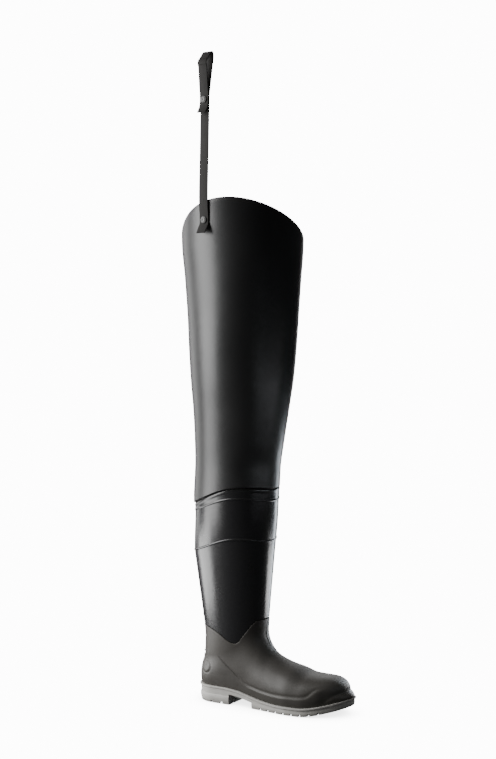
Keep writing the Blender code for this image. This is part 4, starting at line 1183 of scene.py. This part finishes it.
# Camera: 30 degrees towards the toe from the outer side, at half the wader's height
TURN = math.radians(30)
RIGHT = Vector((math.cos(TURN), math.sin(TURN), 0))
TO_CAMERA = Vector((math.sin(TURN), -math.cos(TURN), 0))
LEG = HOME + Vector((0.088, 0, 0))
lens = bpy.data.cameras.new("camera")
lens.sensor_width = 36.0
lens.lens = 67.56
lens.shift_y = -0.0639
lens.clip_start = 0.05
camera = bpy.data.objects.new("camera", lens)
camera.matrix_world = Matrix((RIGHT, Vector((0, 0, 1)), TO_CAMERA)).transposed().to_4x4()
camera.location = HOME + Vector((0.1523, 0, 0.697)) - RIGHT * 0.0491 + TO_CAMERA * 2.65
bpy.context.scene.collection.objects.link(camera)
bpy.context.scene.camera = camera

# Pieces
meridians = Meridians()
low = meridians.crossing(lambda x, a: feather(x) + GAP)
border = meridians.crossing(lambda x, a: shell_top(x))
angles, top = knee_boot(meridians, low, border, gloss_pvc())
foot_shell(meridians, low, border, matt_pvc())
rings = thigh_rings(meridians, top)
sheet_finish = sheet_pvc()
thigh_shaft(rings, sheet_finish)
lining(meridians, low, rings, top, woven_lining())
sole_finish = sole_rubber()
outsole(sole_finish)
shank_plate(sole_finish)
home = StrapFrame()
strap(home, strap_rubber())
metal = lacquered_metal()
wall_front = PRESS_GAP + STRAP_THICKNESS + 2 * GAP
snap(home, "wall_snap", "wall_stud", 0.0, -THIGH_WALL - 2 * PRESS_GAP, wall_front, metal)
run = PRESS_GAP + STRAP_STAND_OFF - strap_lean(SNAP_RISE)
loop_front = run + 2 * STRAP_THICKNESS + PRESS_GAP + 2 * GAP
snap(home, "belt_snap", "loop_snap", SNAP_RISE, run - 2 * GAP, loop_front, metal)
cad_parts["insole"].material_slots[0].material = pressed_felt()

# Floor, world and lights
floor = bpy.data.objects.new("studio_floor", bpy.data.meshes.new("studio_floor"))
bm = bmesh.new()
bmesh.ops.create_grid(bm, x_segments=1, y_segments=1, size=30.0)
bm.to_mesh(floor.data)
bm.free()
paper = Finish("pale_floor", roughness=0.9, specular_ior_level=0.0)
seen = paper.node("ShaderNodeLightPath", {}, {})
# Painted contact shadow: the floor's glow to the camera dims where ambient occlusion finds the
# boot close by.
openness = paper.node("ShaderNodeAmbientOcclusion", {"samples": 12}, {"Distance": 0.07}, "AO")
paper_white_with_painted_shadow = paper.blend(paper.ramp(openness, 0.05, 0.85), (3.0, 3.0, 3.0), PAPER_WHITE)
paper.colour(paper.blend(seen, (0.09, 0.09, 0.09), (0.0, 0.0, 0.0)))
paper.feed(paper.shader.inputs["Emission Color"], paper.blend(seen, (0.0, 0.0, 0.0), paper_white_with_painted_shadow))
paper.feed(paper.shader.inputs["Emission Strength"], 1.0)
floor.data.materials.append(paper.material)
bpy.context.scene.collection.objects.link(floor)

world = bpy.data.worlds.new("studio")
world.use_nodes = True
sky = world.node_tree
rays = sky.nodes.new("ShaderNodeLightPath")
backdrop = sky.nodes.new("ShaderNodeMix")
backdrop.data_type = "RGBA"
backdrop.inputs[6].default_value = (0.050, 0.050, 0.051, 1)
backdrop.inputs[7].default_value = (*PAPER_WHITE, 1)
sky.links.new(rays.outputs["Is Camera Ray"], backdrop.inputs[0])
sky.links.new(backdrop.outputs[2], sky.nodes["Background"].inputs["Color"])
bpy.context.scene.world = world

softbox("key_softbox", -78, 0.95, 1.6, (1.15, 2.2), 86)
softbox("low_softbox", -97, 0.11, 0.60, (0.42, 0.24), 3.6, aim=0.2)
softbox("edge_softbox", -132, 0.85, 1.9, (0.9, 2.2), 17)
softbox("rim_strip", 131, 0.20, 0.60, (0.15, 0.38), 1.7, (0.86, 0.93, 1.0), 0.25)
softbox("toe_softbox", 112, 0.12, 0.46, (0.12, 0.14), 0.50, aim=0.05)
softbox("front_strip", 58, 0.385, 0.80, (1.0, 0.07), 0.80, (0.90, 0.94, 1.0), 0.43)
softbox("back_softbox", 172, 1.2, 2.4, (1.6, 2.0), 16)
softbox("top_softbox", 0, 2.9, 0.3, (2.0, 2.0), 9, aim=0.2)
